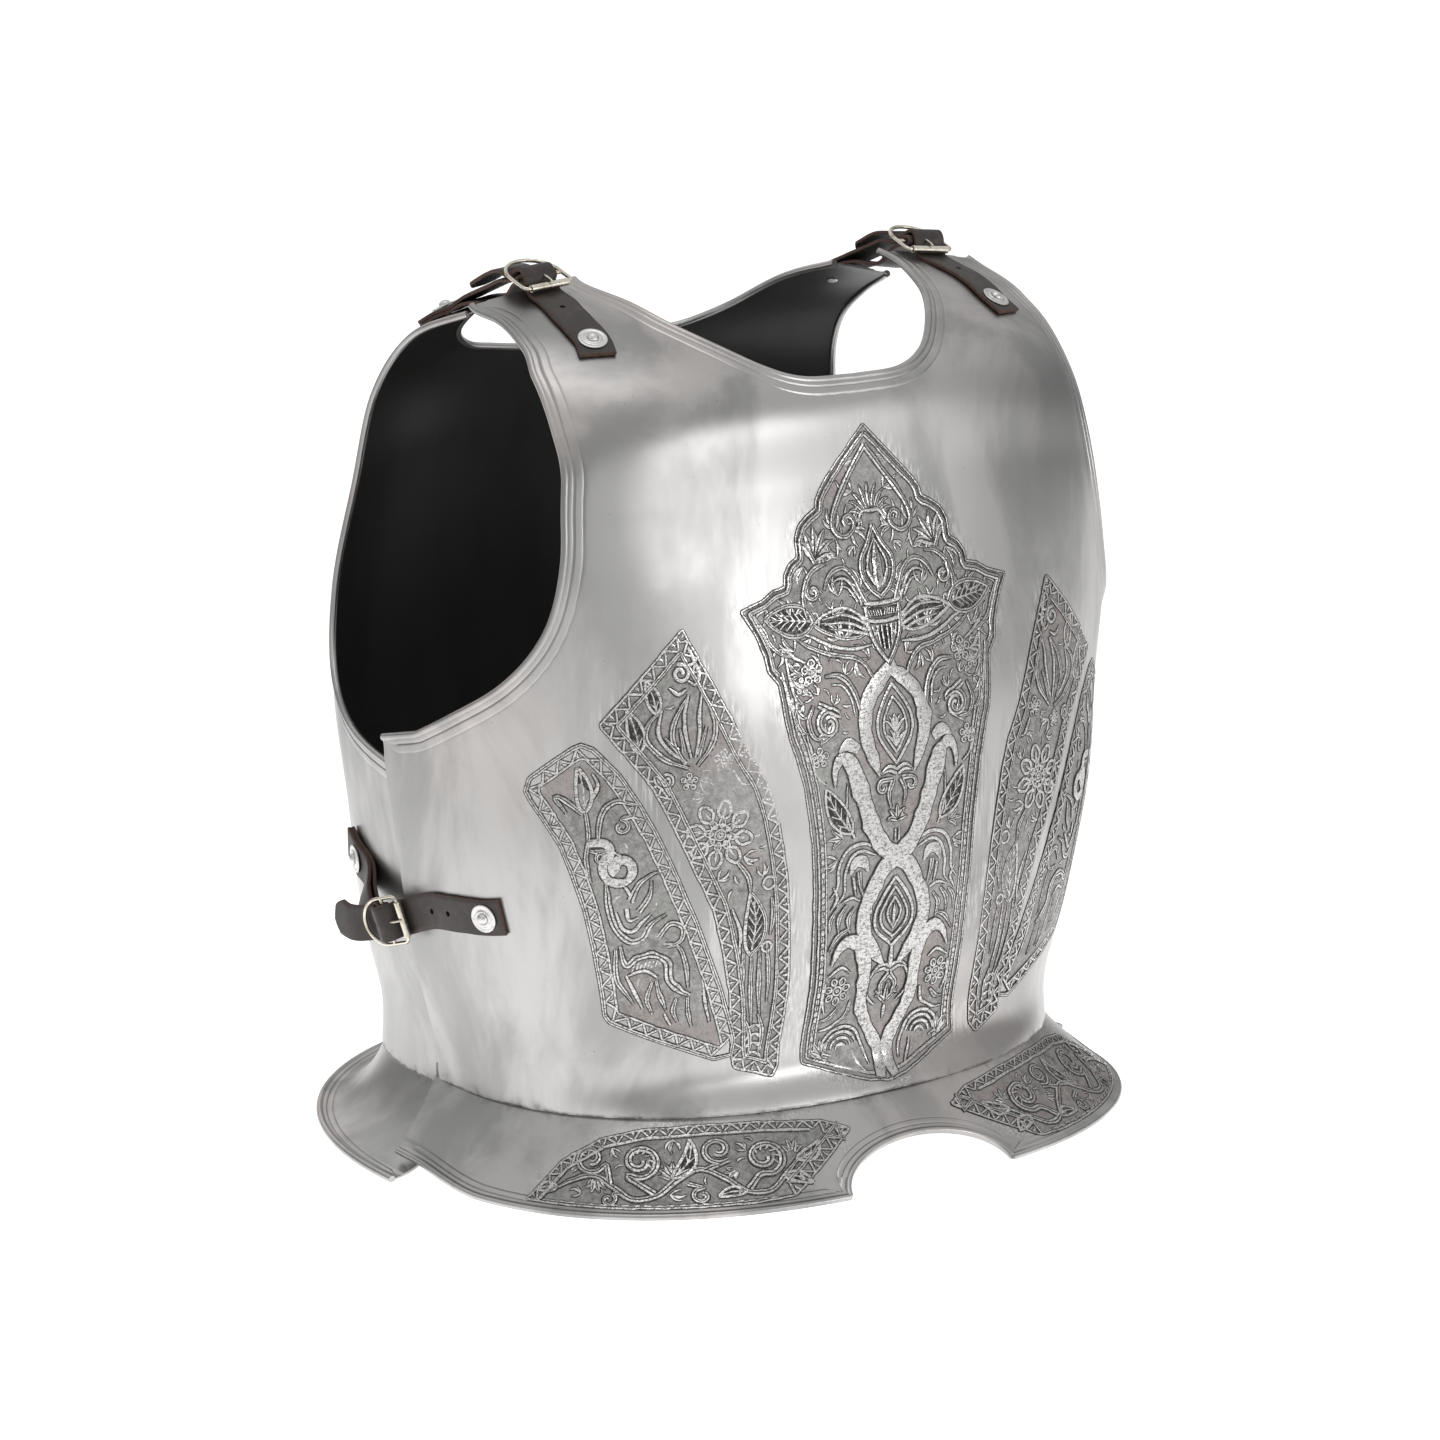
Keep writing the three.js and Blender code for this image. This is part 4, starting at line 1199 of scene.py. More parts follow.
class Artwork:
    """Strokes gathered by drawing on a map."""

    def __init__(self) -> None:
        """Start empty."""
        self.strokes: list[Stroke] = []

    def line(self, stops: Sequence[Point], widths: float | Sequence[float] = 1.6, layer: int = 1,
             casing: float = 0.75, ink: Ink = Ink.BRIGHT, straight: bool = False) -> None:
        """Draw a smooth line.

        Args:
            stops: Points that it passes.
            widths: Width, or widths spread evenly along it.
            layer: Higher layers pass over lower ones.
            casing: Width of the etched line on each side.
            ink: Metal left standing, or a dark line.
            straight: Whether it keeps its corners.
        """
        spread = widths if isinstance(widths, (tuple, list)) else (widths,)
        self.strokes.append(Stroke(np.array(stops, float), tuple(spread), layer, casing, ink, straight))

    def blades(self, *rows: tuple[Point, Point, Point, float], tip: float = 0.5) -> None:
        """Draw short tapered blades, each through three points with its greatest width."""
        for *stops, width in rows:
            self.line(stops, (width * 0.5, width, tip), 2, 0.6)

    def blade(self, base: Point, tip: Point, bend: float = 0, width: float = 3, layer: int = 1,
              casing: float = 0.5) -> None:
        """Draw one solid tapered leaf.

        Args:
            base: Where it grows from.
            tip: Where it ends.
            bend: Sideways bow as a share of its length.
            width: Greatest width.
            layer: Its layer.
            casing: Width of the etched line round it.
        """
        a, b = np.array(base, float), np.array(tip, float)
        bow = left_of(b - a) * bend
        middle = (a + b) / 2 + bow
        stops = [a, a * 0.4 + middle * 0.6, middle * 0.55 + b * 0.45 + bow * 0.35, b]
        self.line(stops, (width * 0.45, width * 0.95, width, width * 0.7, 0.3), layer, casing)

    def leaf(self, base: Point, tip: Point, swell: float, bend: float = 0, veins: int = 4,
             width: float = 1.5, layer: int = 1) -> None:
        """Draw an outlined leaf with dark flesh, a rib and veins.

        Args:
            base: Where it grows from.
            tip: Where it ends.
            swell: Half its width.
            bend: Sideways bow as a share of its length.
            veins: Veins on each side of the rib.
            width: Width of its outline.
            layer: Its layer.
        """
        start = np.array(base, float)
        way = np.array(tip, float) - start
        side = left_of(way)
        across = side / np.linalg.norm(side)

        def spine(t: float) -> Array:
            """Place on the leaf's middle line."""
            return start + way * t + side * bend * 4 * t * (1 - t)

        def swelling(t: float) -> float:
            """Half width at a share of the length."""
            return swell * math.sin(math.pi * min(t, 1) ** 0.8) ** 0.8

        shares = (0, 0.12, 0.3, 0.5, 0.7, 0.88, 1)
        flesh = [max(2 * swelling(t), 0.2) for t in np.linspace(0, 1, 9)]
        self.line([spine(t) for t in shares], flesh, layer, 0, Ink.DARK)
        for sign in (1, -1):
            self.line([spine(t) + across * sign * swelling(t) for t in shares], width, layer + 1, 0.4)
        self.line([spine(t) for t in (0.08, 0.5, 0.86)], (0.9, 0.7, 0.4), layer + 1, 0)
        for t in 0.16 + 0.6 * np.arange(veins) / max(veins - 1, 1):
            for sign in (1, -1):
                end = spine(t + 0.17) + across * sign * swelling(t + 0.12) * 0.66
                self.line([spine(t), (spine(t) + end) / 2, end], (0.7, 0.6, 0.4), layer + 1, 0)

    def curl(self, centre: Point, radius: float, start: float, turns: float, width: float = 1.8,
             layer: int = 1, lead: Sequence[Point] = ()) -> None:
        """Draw a line that winds into a spiral with a ball at its end.

        Args:
            centre: Middle of the spiral.
            radius: Outer radius.
            start: Direction of its start in degrees.
            turns: Turns, positive for anticlockwise.
            width: Width of the line.
            layer: Its layer.
            lead: Points that lead into the spiral.
        """
        share = np.linspace(0, 1, max(int(abs(turns) * 10), 5) + 1)
        spiral = centre + heading(start + 360 * turns * share) * radius * (1 - 0.72 * share)[:, None]
        self.line([*lead, *spiral], (width, width, width, width * 0.9, width * 1.3), layer)

    def fan(self, base: Point, middle: float, spread: float, count: int, length: float,
            width: float, layer: int = 1, hollow: float = 0) -> None:
        """Draw a spray of blades from one root.

        Args:
            base: The root.
            middle: Direction of the middle blade in degrees.
            spread: Degrees from the first to the last blade.
            count: Blades.
            length: Length of the middle blade.
            width: Width of a blade.
            layer: Its layer.
            hollow: Share of the length left free at the root.
        """
        for share in np.linspace(-0.5, 0.5, count):
            way = heading(middle + spread * share) * length
            tip = base + way * (1 - 0.9 * share * share)
            self.blade(base + way * hollow, tip, -share * 0.35, width, layer)

    def rosette(self, centre: Point, radius: float, petals: int, layer: int = 1) -> None:
        """Draw a daisy: looped petals round an eye.

        Args:
            centre: Its middle.
            radius: Reach of the petals.
            petals: How many.
            layer: Its layer.
        """
        swell = math.pi / petals * 0.5
        loop = ((0.42, 0), (0.66, swell), (0.93, swell * 0.6), (1, 0), (0.93, -swell * 0.6), (0.66, -swell),
                (0.42, 0))
        for way in heading(360 * (np.arange(petals) + 0.25) / petals) * radius:
            stops = [centre + way * out + left_of(way) * aside for out, aside in loop]
            self.line(stops, max(radius * 0.085, 0.8), layer, 0.45)
            self.blade(centre + way * 0.45, centre + way * 0.8, 0, radius * 0.09, layer, 0.2)
        self.ring(centre, radius * 0.32, max(radius * 0.09, 0.9), layer)
        self.ring(centre, radius * 0.12, max(radius * 0.1, 0.8), layer)

    def ring(self, centre: Point, radius: float, width: float, layer: int = 1) -> None:
        """Draw a ring."""
        self.line(centre + heading(np.linspace(0, 360, 13)) * radius, width, layer, 0.4)

    def chain(self, rail: Array, depth: float, pitch: float) -> None:
        """Draw a zigzag border beside a rail, with small leaves between the teeth.

        Args:
            rail: Points of the outer rail.
            depth: How far in the zigzag reaches.
            pitch: Millimetres between its teeth.
        """
        length = lengths(rail)[-1]
        count = max(int(length / pitch), 2)
        base = spots_on(rail, np.linspace(0, length, 2 * count + 1))
        way = unit(np.gradient(base, axis=0))
        side = left_of(way)
        self.line(base + side * (np.arange(len(base)) % 2)[:, None] * depth, 0.95, 2, 0.45, straight=True)
        for k in range(1, 2 * count, 2):
            root, top = base[k] + side[k] * 0.4, base[k] + side[k] * depth * 0.55
            self.line([root, (root + top) / 2 + way[k] * 0.5, top], (1.4, 1.0, 0.3), 2, 0.35)

    def border(self, outline: Array, depth: float, pitch: float, rail: float) -> None:
        """Draw the border of a side panel: an outer line, a zigzag and an inner rail.

        Args:
            outline: Corners of the panel.
            depth: How far in the zigzag reaches.
            pitch: Millimetres between its teeth.
            rail: How far in the inner rail runs.
        """
        self.line(looped(inset(outline, 0.4)), 0.9, 2, 0.5, straight=True)
        self.chain(inset(outline, 0.8), depth, pitch)
        self.line(looped(inset(outline, rail)), 1.7, 3, 0.5, straight=True)

    def beads(self, rail: Array, pitch: float, length: float, width: float) -> None:
        """Draw a row of short bars along a rail."""
        base = spots_on(rail, np.arange(pitch, lengths(rail)[-1] - pitch, pitch))
        for spot, half in zip(base, unit(np.gradient(base, axis=0)) * length / 2):
            self.line([spot - half, spot, spot + half], (width * 0.7, width, width * 0.7), 2, 0.35)

    def fill(self, outline: Array, margin: float, seed: int) -> None:
        """Grow small leaves wherever the ground inside an outline is still bare.

        Args:
            outline: Corners of the panel.
            margin: Distance kept from the outline.
            seed: Seed of their places.
        """
        chance = np.random.default_rng(seed)
        paths = [smooth_path(stroke.stops, 1.2) for stroke in self.strokes]
        taken = np.vstack(paths)
        size = np.concatenate([
            np.full(len(path), max(stroke.widths) / 2 + stroke.casing)
            for path, stroke in zip(paths, self.strokes)
        ])
        spots = chance.uniform(outline.min(0), outline.max(0), (2600, 2))
        spots = spots[outline_depth(spots, outline) < -margin]
        for room in (5.2, 3.6, 2.5):
            for spot in spots:
                gap = np.linalg.norm(taken - spot, axis=1) - size
                near = gap.argmin()
                if gap[near] < room:
                    continue
                away = unit(spot - taken[near])
                turn = chance.uniform(-0.9, 0.9)
                way = away * math.cos(turn) + left_of(away) * math.sin(turn)
                side = left_of(way) * chance.choice([-1, 1])
                reach = min(gap[near] * 0.95, 6.5)
                root, tip = spot - way * reach, spot + way * reach * 0.8
                self.line([root, spot + side * reach * 0.3, tip], (0.5, reach * 0.36, 0.3), 1, 0.5)
                marks = [root, spot, tip]
                for bow in (side, -side) if reach > 3.2 else ():
                    marks.append(spot + bow * reach * 0.75 + way * reach * 0.25)
                    middle = (root + marks[-1]) / 2 + bow * reach * 0.22
                    self.line([root, middle, marks[-1]], (0.4, reach * 0.26, 0.3), 1, 0.5)
                taken = np.vstack([taken, marks])
                size = np.concatenate([size, np.full(len(marks), reach * 0.25)])

    def mirrored(self) -> "Artwork":
        """The artwork on the other side of the centre line."""
        other = Artwork()
        other.strokes = [replace(stroke, stops=stroke.stops * [-1, 1]) for stroke in self.strokes]
        return other


@dataclass
class Etcher:
    """Turns strokes into thin ribbons that follow a surface."""

    points: Callable[[Array], Array]
    normals: Callable[[Array], Array]
    base: float = 0.06
    layer_rise: float = 0.11
    step: float = 1.25
    seed: int = 3

    def ribbon(self, skin: Skin, stroke: Stroke, chance: np.random.Generator) -> None:
        """Add one stroke.

        Args:
            skin: Where it goes.
            stroke: The line.
            chance: Source of the hand's unevenness.
        """
        if stroke.straight:
            path = inset(stroke.stops, 0, self.step, closed=False)
        else:
            path = smooth_path(stroke.stops, self.step)
        share = np.linspace(0, 1, len(path))
        knots = np.arange(0, len(path) + 4, 3)
        shake = np.interp(share * len(path), knots, chance.normal(size=len(knots)))
        width = np.interp(share, np.linspace(0, 1, len(stroke.widths)), stroke.widths) * (1 + 0.1 * shake)
        side = left_of(unit(np.gradient(path, axis=0)))
        path = path + side * (shake * 0.1)[:, None]

        def strip(half: Array, spots: Sequence[float], rises: Sequence[float], slot: int) -> None:
            """Add a ribbon by half its width, places across from -1 to 1, their heights and its slot."""
            flat = path[:, None] + side[:, None] * (half[:, None] * spots)[..., None]
            points = self.points(flat) + self.normals(flat) * np.array(rises)[:, None]
            faces = grid_faces(len(path), len(spots))[:, ::-1]
            skin.add(points, faces, [slot] * len(faces))

        widest = width.max()
        lift = self.base + self.layer_rise * stroke.layer
        if stroke.casing or stroke.ink is Ink.DARK:
            many = 5 if widest > 5 else 3
            strip(width / 2 + stroke.casing, np.linspace(-1, 1, many), [lift - 0.05] * many, 1)
        if stroke.ink is Ink.BRIGHT:
            crown = [-0.6, 0, 0.6] if widest > 2.4 else [0]
            low, top = lift - 0.1, lift + 0.02
            peak = top + min(0.12, widest * 0.06)
            strip(width / 2, [-1, -1, *crown, 1, 1], [low, top] + [peak] * len(crown) + [top, low], 0)
            if 1.9 < widest < 5 and stroke.casing:
                strip(width * 0.13, [-1, 1], [peak + 0.02] * 2, 1)

    def piece(self, name: str, *works: Artwork) -> None:
        """Build the piece of some artworks."""
        chance = np.random.default_rng(self.seed)
        skin = Skin()
        for work in works:
            for stroke in work.strokes:
                self.ribbon(skin, stroke, chance)
        adopt(skin.build(name, [BRIGHT, DARK], 70), BRIGHT)


@dataclass
class BreastPanels:
    """The five etched panels of the breast, by their outlines on the chart."""

    chart: Chart

    centre = np.array([
        (0, 379), (8, 371.5), (16, 363.5), (24, 355.5), (30, 349), (33, 344.5), (33.5, 340.5),
        (39, 338), (45, 333.5), (48.5, 327), (48.5, 318.5), (53.5, 315.5), (57.5, 310.5),
        (58, 304.8), (65, 303.5), (72, 299.5), (84.5, 295.5), (80, 288), (76, 279.5), (73.5, 272),
        (72.5, 264.5), (67.5, 258.5), (66.5, 250), (65.5, 240), (64, 231), (60.5, 221), (56.5, 205),
        (54, 190), (52, 175), (51, 160), (50, 140), (49, 120), (48.3, 100), (48.3, 80), (49.5, 59),
        (30, 51.5), (12, 45.5), (0, 43.5),
    ], float)
    inner = np.array([
        (117, 290.5), (132, 276), (148, 260), (163, 245), (151, 230), (137, 212), (124, 185),
        (115, 166), (106, 148), (98.5, 122), (93.5, 100), (90, 80), (87.5, 61.5), (66.5, 54.5),
        (62.5, 60), (61.5, 80), (61.5, 100), (62.5, 120), (64, 140), (66, 160), (69, 178),
        (73, 197), (78, 212), (84, 222), (88, 229), (93, 240), (98, 251), (104, 264), (110, 276),
    ], float)
    outer = np.array([
        (194, 212.5), (184, 220), (171, 229), (159, 216), (149, 200), (142, 187), (134, 170),
        (127, 154), (120, 139), (113, 122), (107, 108), (102, 95), (97, 83), (93.5, 73),
        (112, 80.5), (132, 88.5), (149.5, 96), (153.5, 113), (158.5, 133), (164, 153), (171, 172),
        (177, 187), (186, 201),
    ], float)

    def depth(self, points: Array) -> Array:
        """Distance of plate points to the nearest panel's edge, negative inside."""
        flat = self.chart.flat(points)
        whole = np.vstack([self.centre, self.centre[1:-1][::-1] * [-1, 1]])
        return np.min([outline_depth(flat, line) for line in (whole, self.inner, self.outer)], axis=0)

    def build(self) -> None:
        """Draw and build every panel."""
        etcher = Etcher(self.chart.points, self.chart.normals)
        parts = {"head": (centre_border, centre_bloom), "straps": (centre_strapwork, centre_fields)}
        for name, draws in parts.items():
            art = Artwork()
            for draw in draws:
                draw(art)
            etcher.piece(f"etching_centre_{name}", art, art.mirrored())
        for name, draw in (("inner", inner_panel), ("outer", outer_panel)):
            art = Artwork()
            draw(art)
            etcher.piece(f"etching_{name}_left", art)
            etcher.piece(f"etching_{name}_right", art.mirrored())


@dataclass
class FlangePanels:
    """The two etched panels of the breast flange, on a map of millimetres round and down."""

    form: FlangeForm
    across: float = 3.0
    down: float = 55.0
    outline = np.array([
        (192, -51), (189, -47), (177, -27.5), (157, -12.6), (136, -6.6), (105, -4.4), (76, -5),
        (45, -9), (30, -17), (67, -50), (84, -51.4), (153, -51.4), (180, -51.4),
    ], float)

    def points(self, flat: Array) -> Array:
        """Points of the outer face at places of the map."""
        return self.form.points(-flat[..., 1] / self.down, flat[..., 0] / self.across)

    def normals(self, flat: Array) -> Array:
        """Outward normals at places of the map."""
        return self.form.normals(-flat[..., 1] / self.down, flat[..., 0] / self.across)

    def depth(self, rise: Array, angle: Array) -> Array:
        """Distance to the nearest panel's edge, negative inside.

        Args:
            rise: How far down the flare, 0 to 1.
            angle: Degrees round.

        Returns:
            Millimetres.
        """
        flat = np.stack([np.abs(angle) * self.across, -rise * self.down], -1)
        return outline_depth(flat, self.outline)

    def build(self) -> None:
        """Draw and build both panels."""
        art = Artwork()
        flange_panel(art)
        etcher = Etcher(self.points, self.normals)
        etcher.piece("etching_flange_left", art)
        etcher.piece("etching_flange_right", art.mirrored())


def centre_border(art: Artwork) -> None:
    """Draw the half of the centre panel's border and its pointed head."""
    half = BreastPanels.centre[::-1]
    whole = np.vstack([half, half[1:-1][::-1] * [-1, 1]])

    def rail(distance: float, least: float, low: float, high: float) -> Array:
        """The stretch of a rail beyond a distance across and between two heights."""
        line = inset(whole, distance)
        return line[(line[:, 0] > least) & (line[:, 1] > low) & (line[:, 1] <= high)]

    art.line(inset(half, 0.1, 1.5, False), 0.7, 2, 0.5, straight=True)
    art.line([*rail(3.1, 0, 262, 400), (0, 374.2)], 2.1, 3, 0.6, straight=True)
    art.line(rail(3.1, 0, 56, 262), 0.8, 2, 0.5, straight=True)
    art.beads(rail(5.4, 30, 58, 256), 3.4, 2.7, 1.9)
    art.line(rail(7.4, 30, 60, 256), 0.8, 2, 0.4, straight=True)
    art.line(rail(3.4, 4, 0, 58), 1.2, 2, 0.5, straight=True)
    art.line([(0, 368.5), (8.5, 358), (16.5, 347.5), (22.5, 338.5), (24.8, 331.5), (22.5, 326.6),
             (17.5, 325), (12.8, 327.6), (11.3, 331.8), (14, 335), (17.2, 333.2), (16.2, 330.6)],
             (2.7, 2.6, 2.6, 2.6, 2.2, 2, 2, 2, 2.6), 3, 0.7)
    art.line([(31, 313.5), (38, 312.2), (44, 307.5), (47.3, 300), (47.6, 293), (46.5, 287)],
             (0.6, 2, 2.3, 2.3, 2, 1), 3, 0.6)
    art.curl((41.5, 300.5), 4.6, 45, -0.95, 1.9, 3, [(45, 307.5)])
    art.fan((38.5, 315.5), 108, 128, 6, 17.5, 3.6, 2)
    art.line([(38.5, 314.5), (41, 320), (45.5, 324.5)], (2.4, 2, 0.5), 3)


def centre_bloom(art: Artwork) -> None:
    """Draw the half of the bud, its leaves and the corner leaf."""
    art.fan((0, 333), 90, 150, 9, 17.5, 2.1, 1, 0.28)
    art.line([(0, 336), (5.5, 336), (8.5, 331)], (1.6, 1.4, 0.8), 2)
    art.line([(0, 329), (4.5, 320.5), (9.6, 313), (10, 305.5), (6.2, 298.5), (0, 293.5)], 1.9, 3, 0.6)
    art.line([(0, 322.5), (5.4, 313), (6, 306), (3.2, 300)], (0.5, 1, 1, 0.5), 2, 0.9)
    art.blade((0, 297), (0, 321), 0, 5.4, 2)
    art.blade((1.5, 299), (5.6, 311), -0.15, 1.6, 3)
    art.line([(8.8, 291.5), (12, 298), (15.4, 305), (20.5, 309.8), (26.5, 310), (31.5, 306.4),
             (34.8, 300.5)], (2.4, 2.2, 2, 2, 2, 1.8, 0.8), 2, 0.6)
    art.line([(12.5, 292), (16.5, 299.5), (21, 304.6), (26, 305), (30, 302.5)], (1, 1.2, 1.2, 1, 0.4), 2,
             1.1)
    art.line([(14.6, 293), (20, 300), (25, 301.4)], (1, 1.2, 0.4), 2, 0.8)
    art.line([(0, 290.6), (5, 290.8), (11, 291.6)], 1.7, 3)
    art.line([(0, 286.2), (11, 287)], 4.2, 2, 0.4, Ink.DARK)
    for k in range(7):
        art.line([(0.8 + 1.5 * k, 284.8), (1.6 + 1.5 * k, 287.8)], 0.55, 3, 0)
    art.line([(0, 281.8), (5, 282), (11, 283)], 1.7, 3)
    art.line([(10.6, 289.5), (9.4, 277), (5.2, 268), (0, 261.4)], (1.8, 1.6, 1.6, 1.6), 3)
    art.line([(0, 279.5), (0, 268)], (11, 9, 4), 1, 0.3, Ink.DARK)
    for x, foot in ((1.5, 267), (4, 270), (6.6, 274)):
        art.line([(x * 1.15, 280), (x * 0.9, foot)], (1, 0.9, 0.5), 2, 0.2)
    art.leaf((10.4, 279), (43.5, 284.6), 7.2, 0.06, 0, 1.6, 1)
    for a, b, c in (((11, 284), (24, 291), (38, 289)), ((11, 281.6), (24, 287.4), (38, 286.6)),
                    ((11, 278.8), (24, 283.6), (37, 284)), ((11, 276.4), (23, 279.8), (34, 281.4))):
        art.line([a, b, c], (1.5, 1.3, 0.5), 3, 0.25)
    art.line([(9.5, 271), (20, 270.4), (29, 271.6), (38, 275), (46, 279.2), (54, 281.5)],
             (0.7, 1.5, 1.7, 1.7, 1.4, 0.5), 3, 0.6)
    art.line([(10.6, 254.5), (14.5, 261), (20.5, 266), (29, 267.8), (40, 271), (49.5, 275.4), (55, 279.6)],
             (1, 1.7, 2, 2, 1.8, 1.6, 0.6), 3, 0.6)
    art.leaf((43, 286.5), (71.5, 290.4), 7.6, -0.01, 6, 2.1, 2)
    art.line([(77.6, 292.8), (73, 284.6), (69.6, 277.4), (64, 272.6), (58, 270.5)], (0.8, 2, 2, 1.6, 0.6), 3,
             0.5)
    art.rosette((47.5, 262), 6.2, 5, 2)
    art.rosette((54.5, 256), 4.2, 5, 2)
    for a, b, c in (((64.5, 277), (57.5, 270.5), (51, 267)), ((62, 271), (60.6, 259), (58, 247)),
                    ((65, 264), (62.4, 250), (59.2, 236))):
        art.line([a, b, c], (0.8, 1.7, 0.9), 2, 0.5)
    for k in range(5):
        art.blade((60.5 - 0.5 * k, 268 - 7.5 * k), (54.5 - 0.4 * k, 262.5 - 7.5 * k), 0.2, 2.2, 2)


def centre_strapwork(art: Artwork) -> None:
    """Draw the half of the broad crossing straps and what they frame."""
    art.line([(0, 259), (8.5, 252.4), (15.4, 245), (18.6, 235), (18.4, 225.5), (15, 215.5), (11, 205.5)],
             (7.5, 7.6, 7.8, 7.8, 7.4, 6.4, 0.8), 3, 0.7)
    art.line([(0, 162.5), (8.6, 169), (15.6, 180), (20.6, 193), (25.4, 206), (29.4, 215), (35, 217.4),
             (38.6, 211.6), (38.8, 203.6)], (9.6, 9, 8.8, 8.8, 9.2, 10.4, 7.6, 4, 0.6), 4, 0.7)
    art.line([(24, 221), (30, 224), (36, 221)], (5, 7, 1), 3, 0.5)
    art.line([(0, 251), (6.2, 243), (10.8, 234), (10.6, 226), (6, 218.4), (0, 210.8)], 1.5, 2, 0.6)
    art.line([(0, 244.6), (4.8, 238), (7.3, 231), (6, 225), (0, 216.4)], 1.1, 2, 0.7)
    for way in heading(np.array([90, 66, 44])) * 9.5:
        for root in (219.5, 226.5):
            art.blade((0, root), way + [0, root], 0.1, 1.4, 2)
    art.line([(0, 206.6), (5, 208.6), (10.4, 206.4)], (4, 4, 1), 2)
    art.curl((9, 199.4), 4, 115, -0.85, 2.0, 2, [(3, 203)])
    art.line([(2.4, 203), (5.4, 196), (4, 188.6)], (2.4, 2, 0.8), 2)
    art.fan((0, 181.5), 90, 170, 5, 8.5, 2.4, 2)
    art.line([(1.2, 171), (1.2, 177.5)], 0.9, 2, 0.5)
    art.line([(0, 163), (7.4, 158), (13, 149.6), (17.8, 140), (19.4, 130), (16, 120), (9.6, 111.4),
             (3.6, 104.8)], (9, 8.4, 8.2, 8.2, 8.4, 8, 6, 0.8), 3, 0.7)
    art.line([(4.6, 45.6), (2.8, 53), (3.8, 62), (10.4, 73.5), (15.8, 85), (16.2, 97), (16.8, 108.6),
             (20.6, 118.4), (28, 121.8), (34, 117.6), (37.4, 110)],
             (5, 6.6, 7.2, 7, 6.6, 6.6, 7, 8, 7.2, 4.4, 0.6), 4, 0.7)
    art.line([(0, 152), (6.8, 143.6), (12, 133.6), (10.4, 124.6), (0, 115.6)], 1.5, 2, 0.6)
    art.line([(0, 147), (5, 140), (8.6, 132.6), (6.8, 126), (0, 120)], 1.1, 2, 0.8)
    art.line([(0, 141.6), (4.4, 133), (0, 124.6)], 1, 2, 0.7)
    art.blade((0, 127), (0, 138), 0, 1.8, 2)
    art.line([(0, 115), (0.6, 109), (0, 104)], (1.2, 1.1, 1.6), 2)
    art.line([(0, 102.6), (5.4, 104.6), (10.8, 102.2)], (4.6, 4, 1), 2)
    art.line([(9.4, 103.4), (13.2, 96.6), (12.2, 89), (7.2, 84)], (0.9, 1.4, 1.3, 0.6), 2)
    art.line([(0, 100), (4.6, 94.4), (3.6, 88.4), (7.4, 91.6)], (2.6, 2.2, 1.8, 0.6), 2)
    art.fan((0, 84), 90, 120, 3, 11, 2.4, 2)
    art.blade((0, 83), (0, 74.6), 0, 1.7, 2)


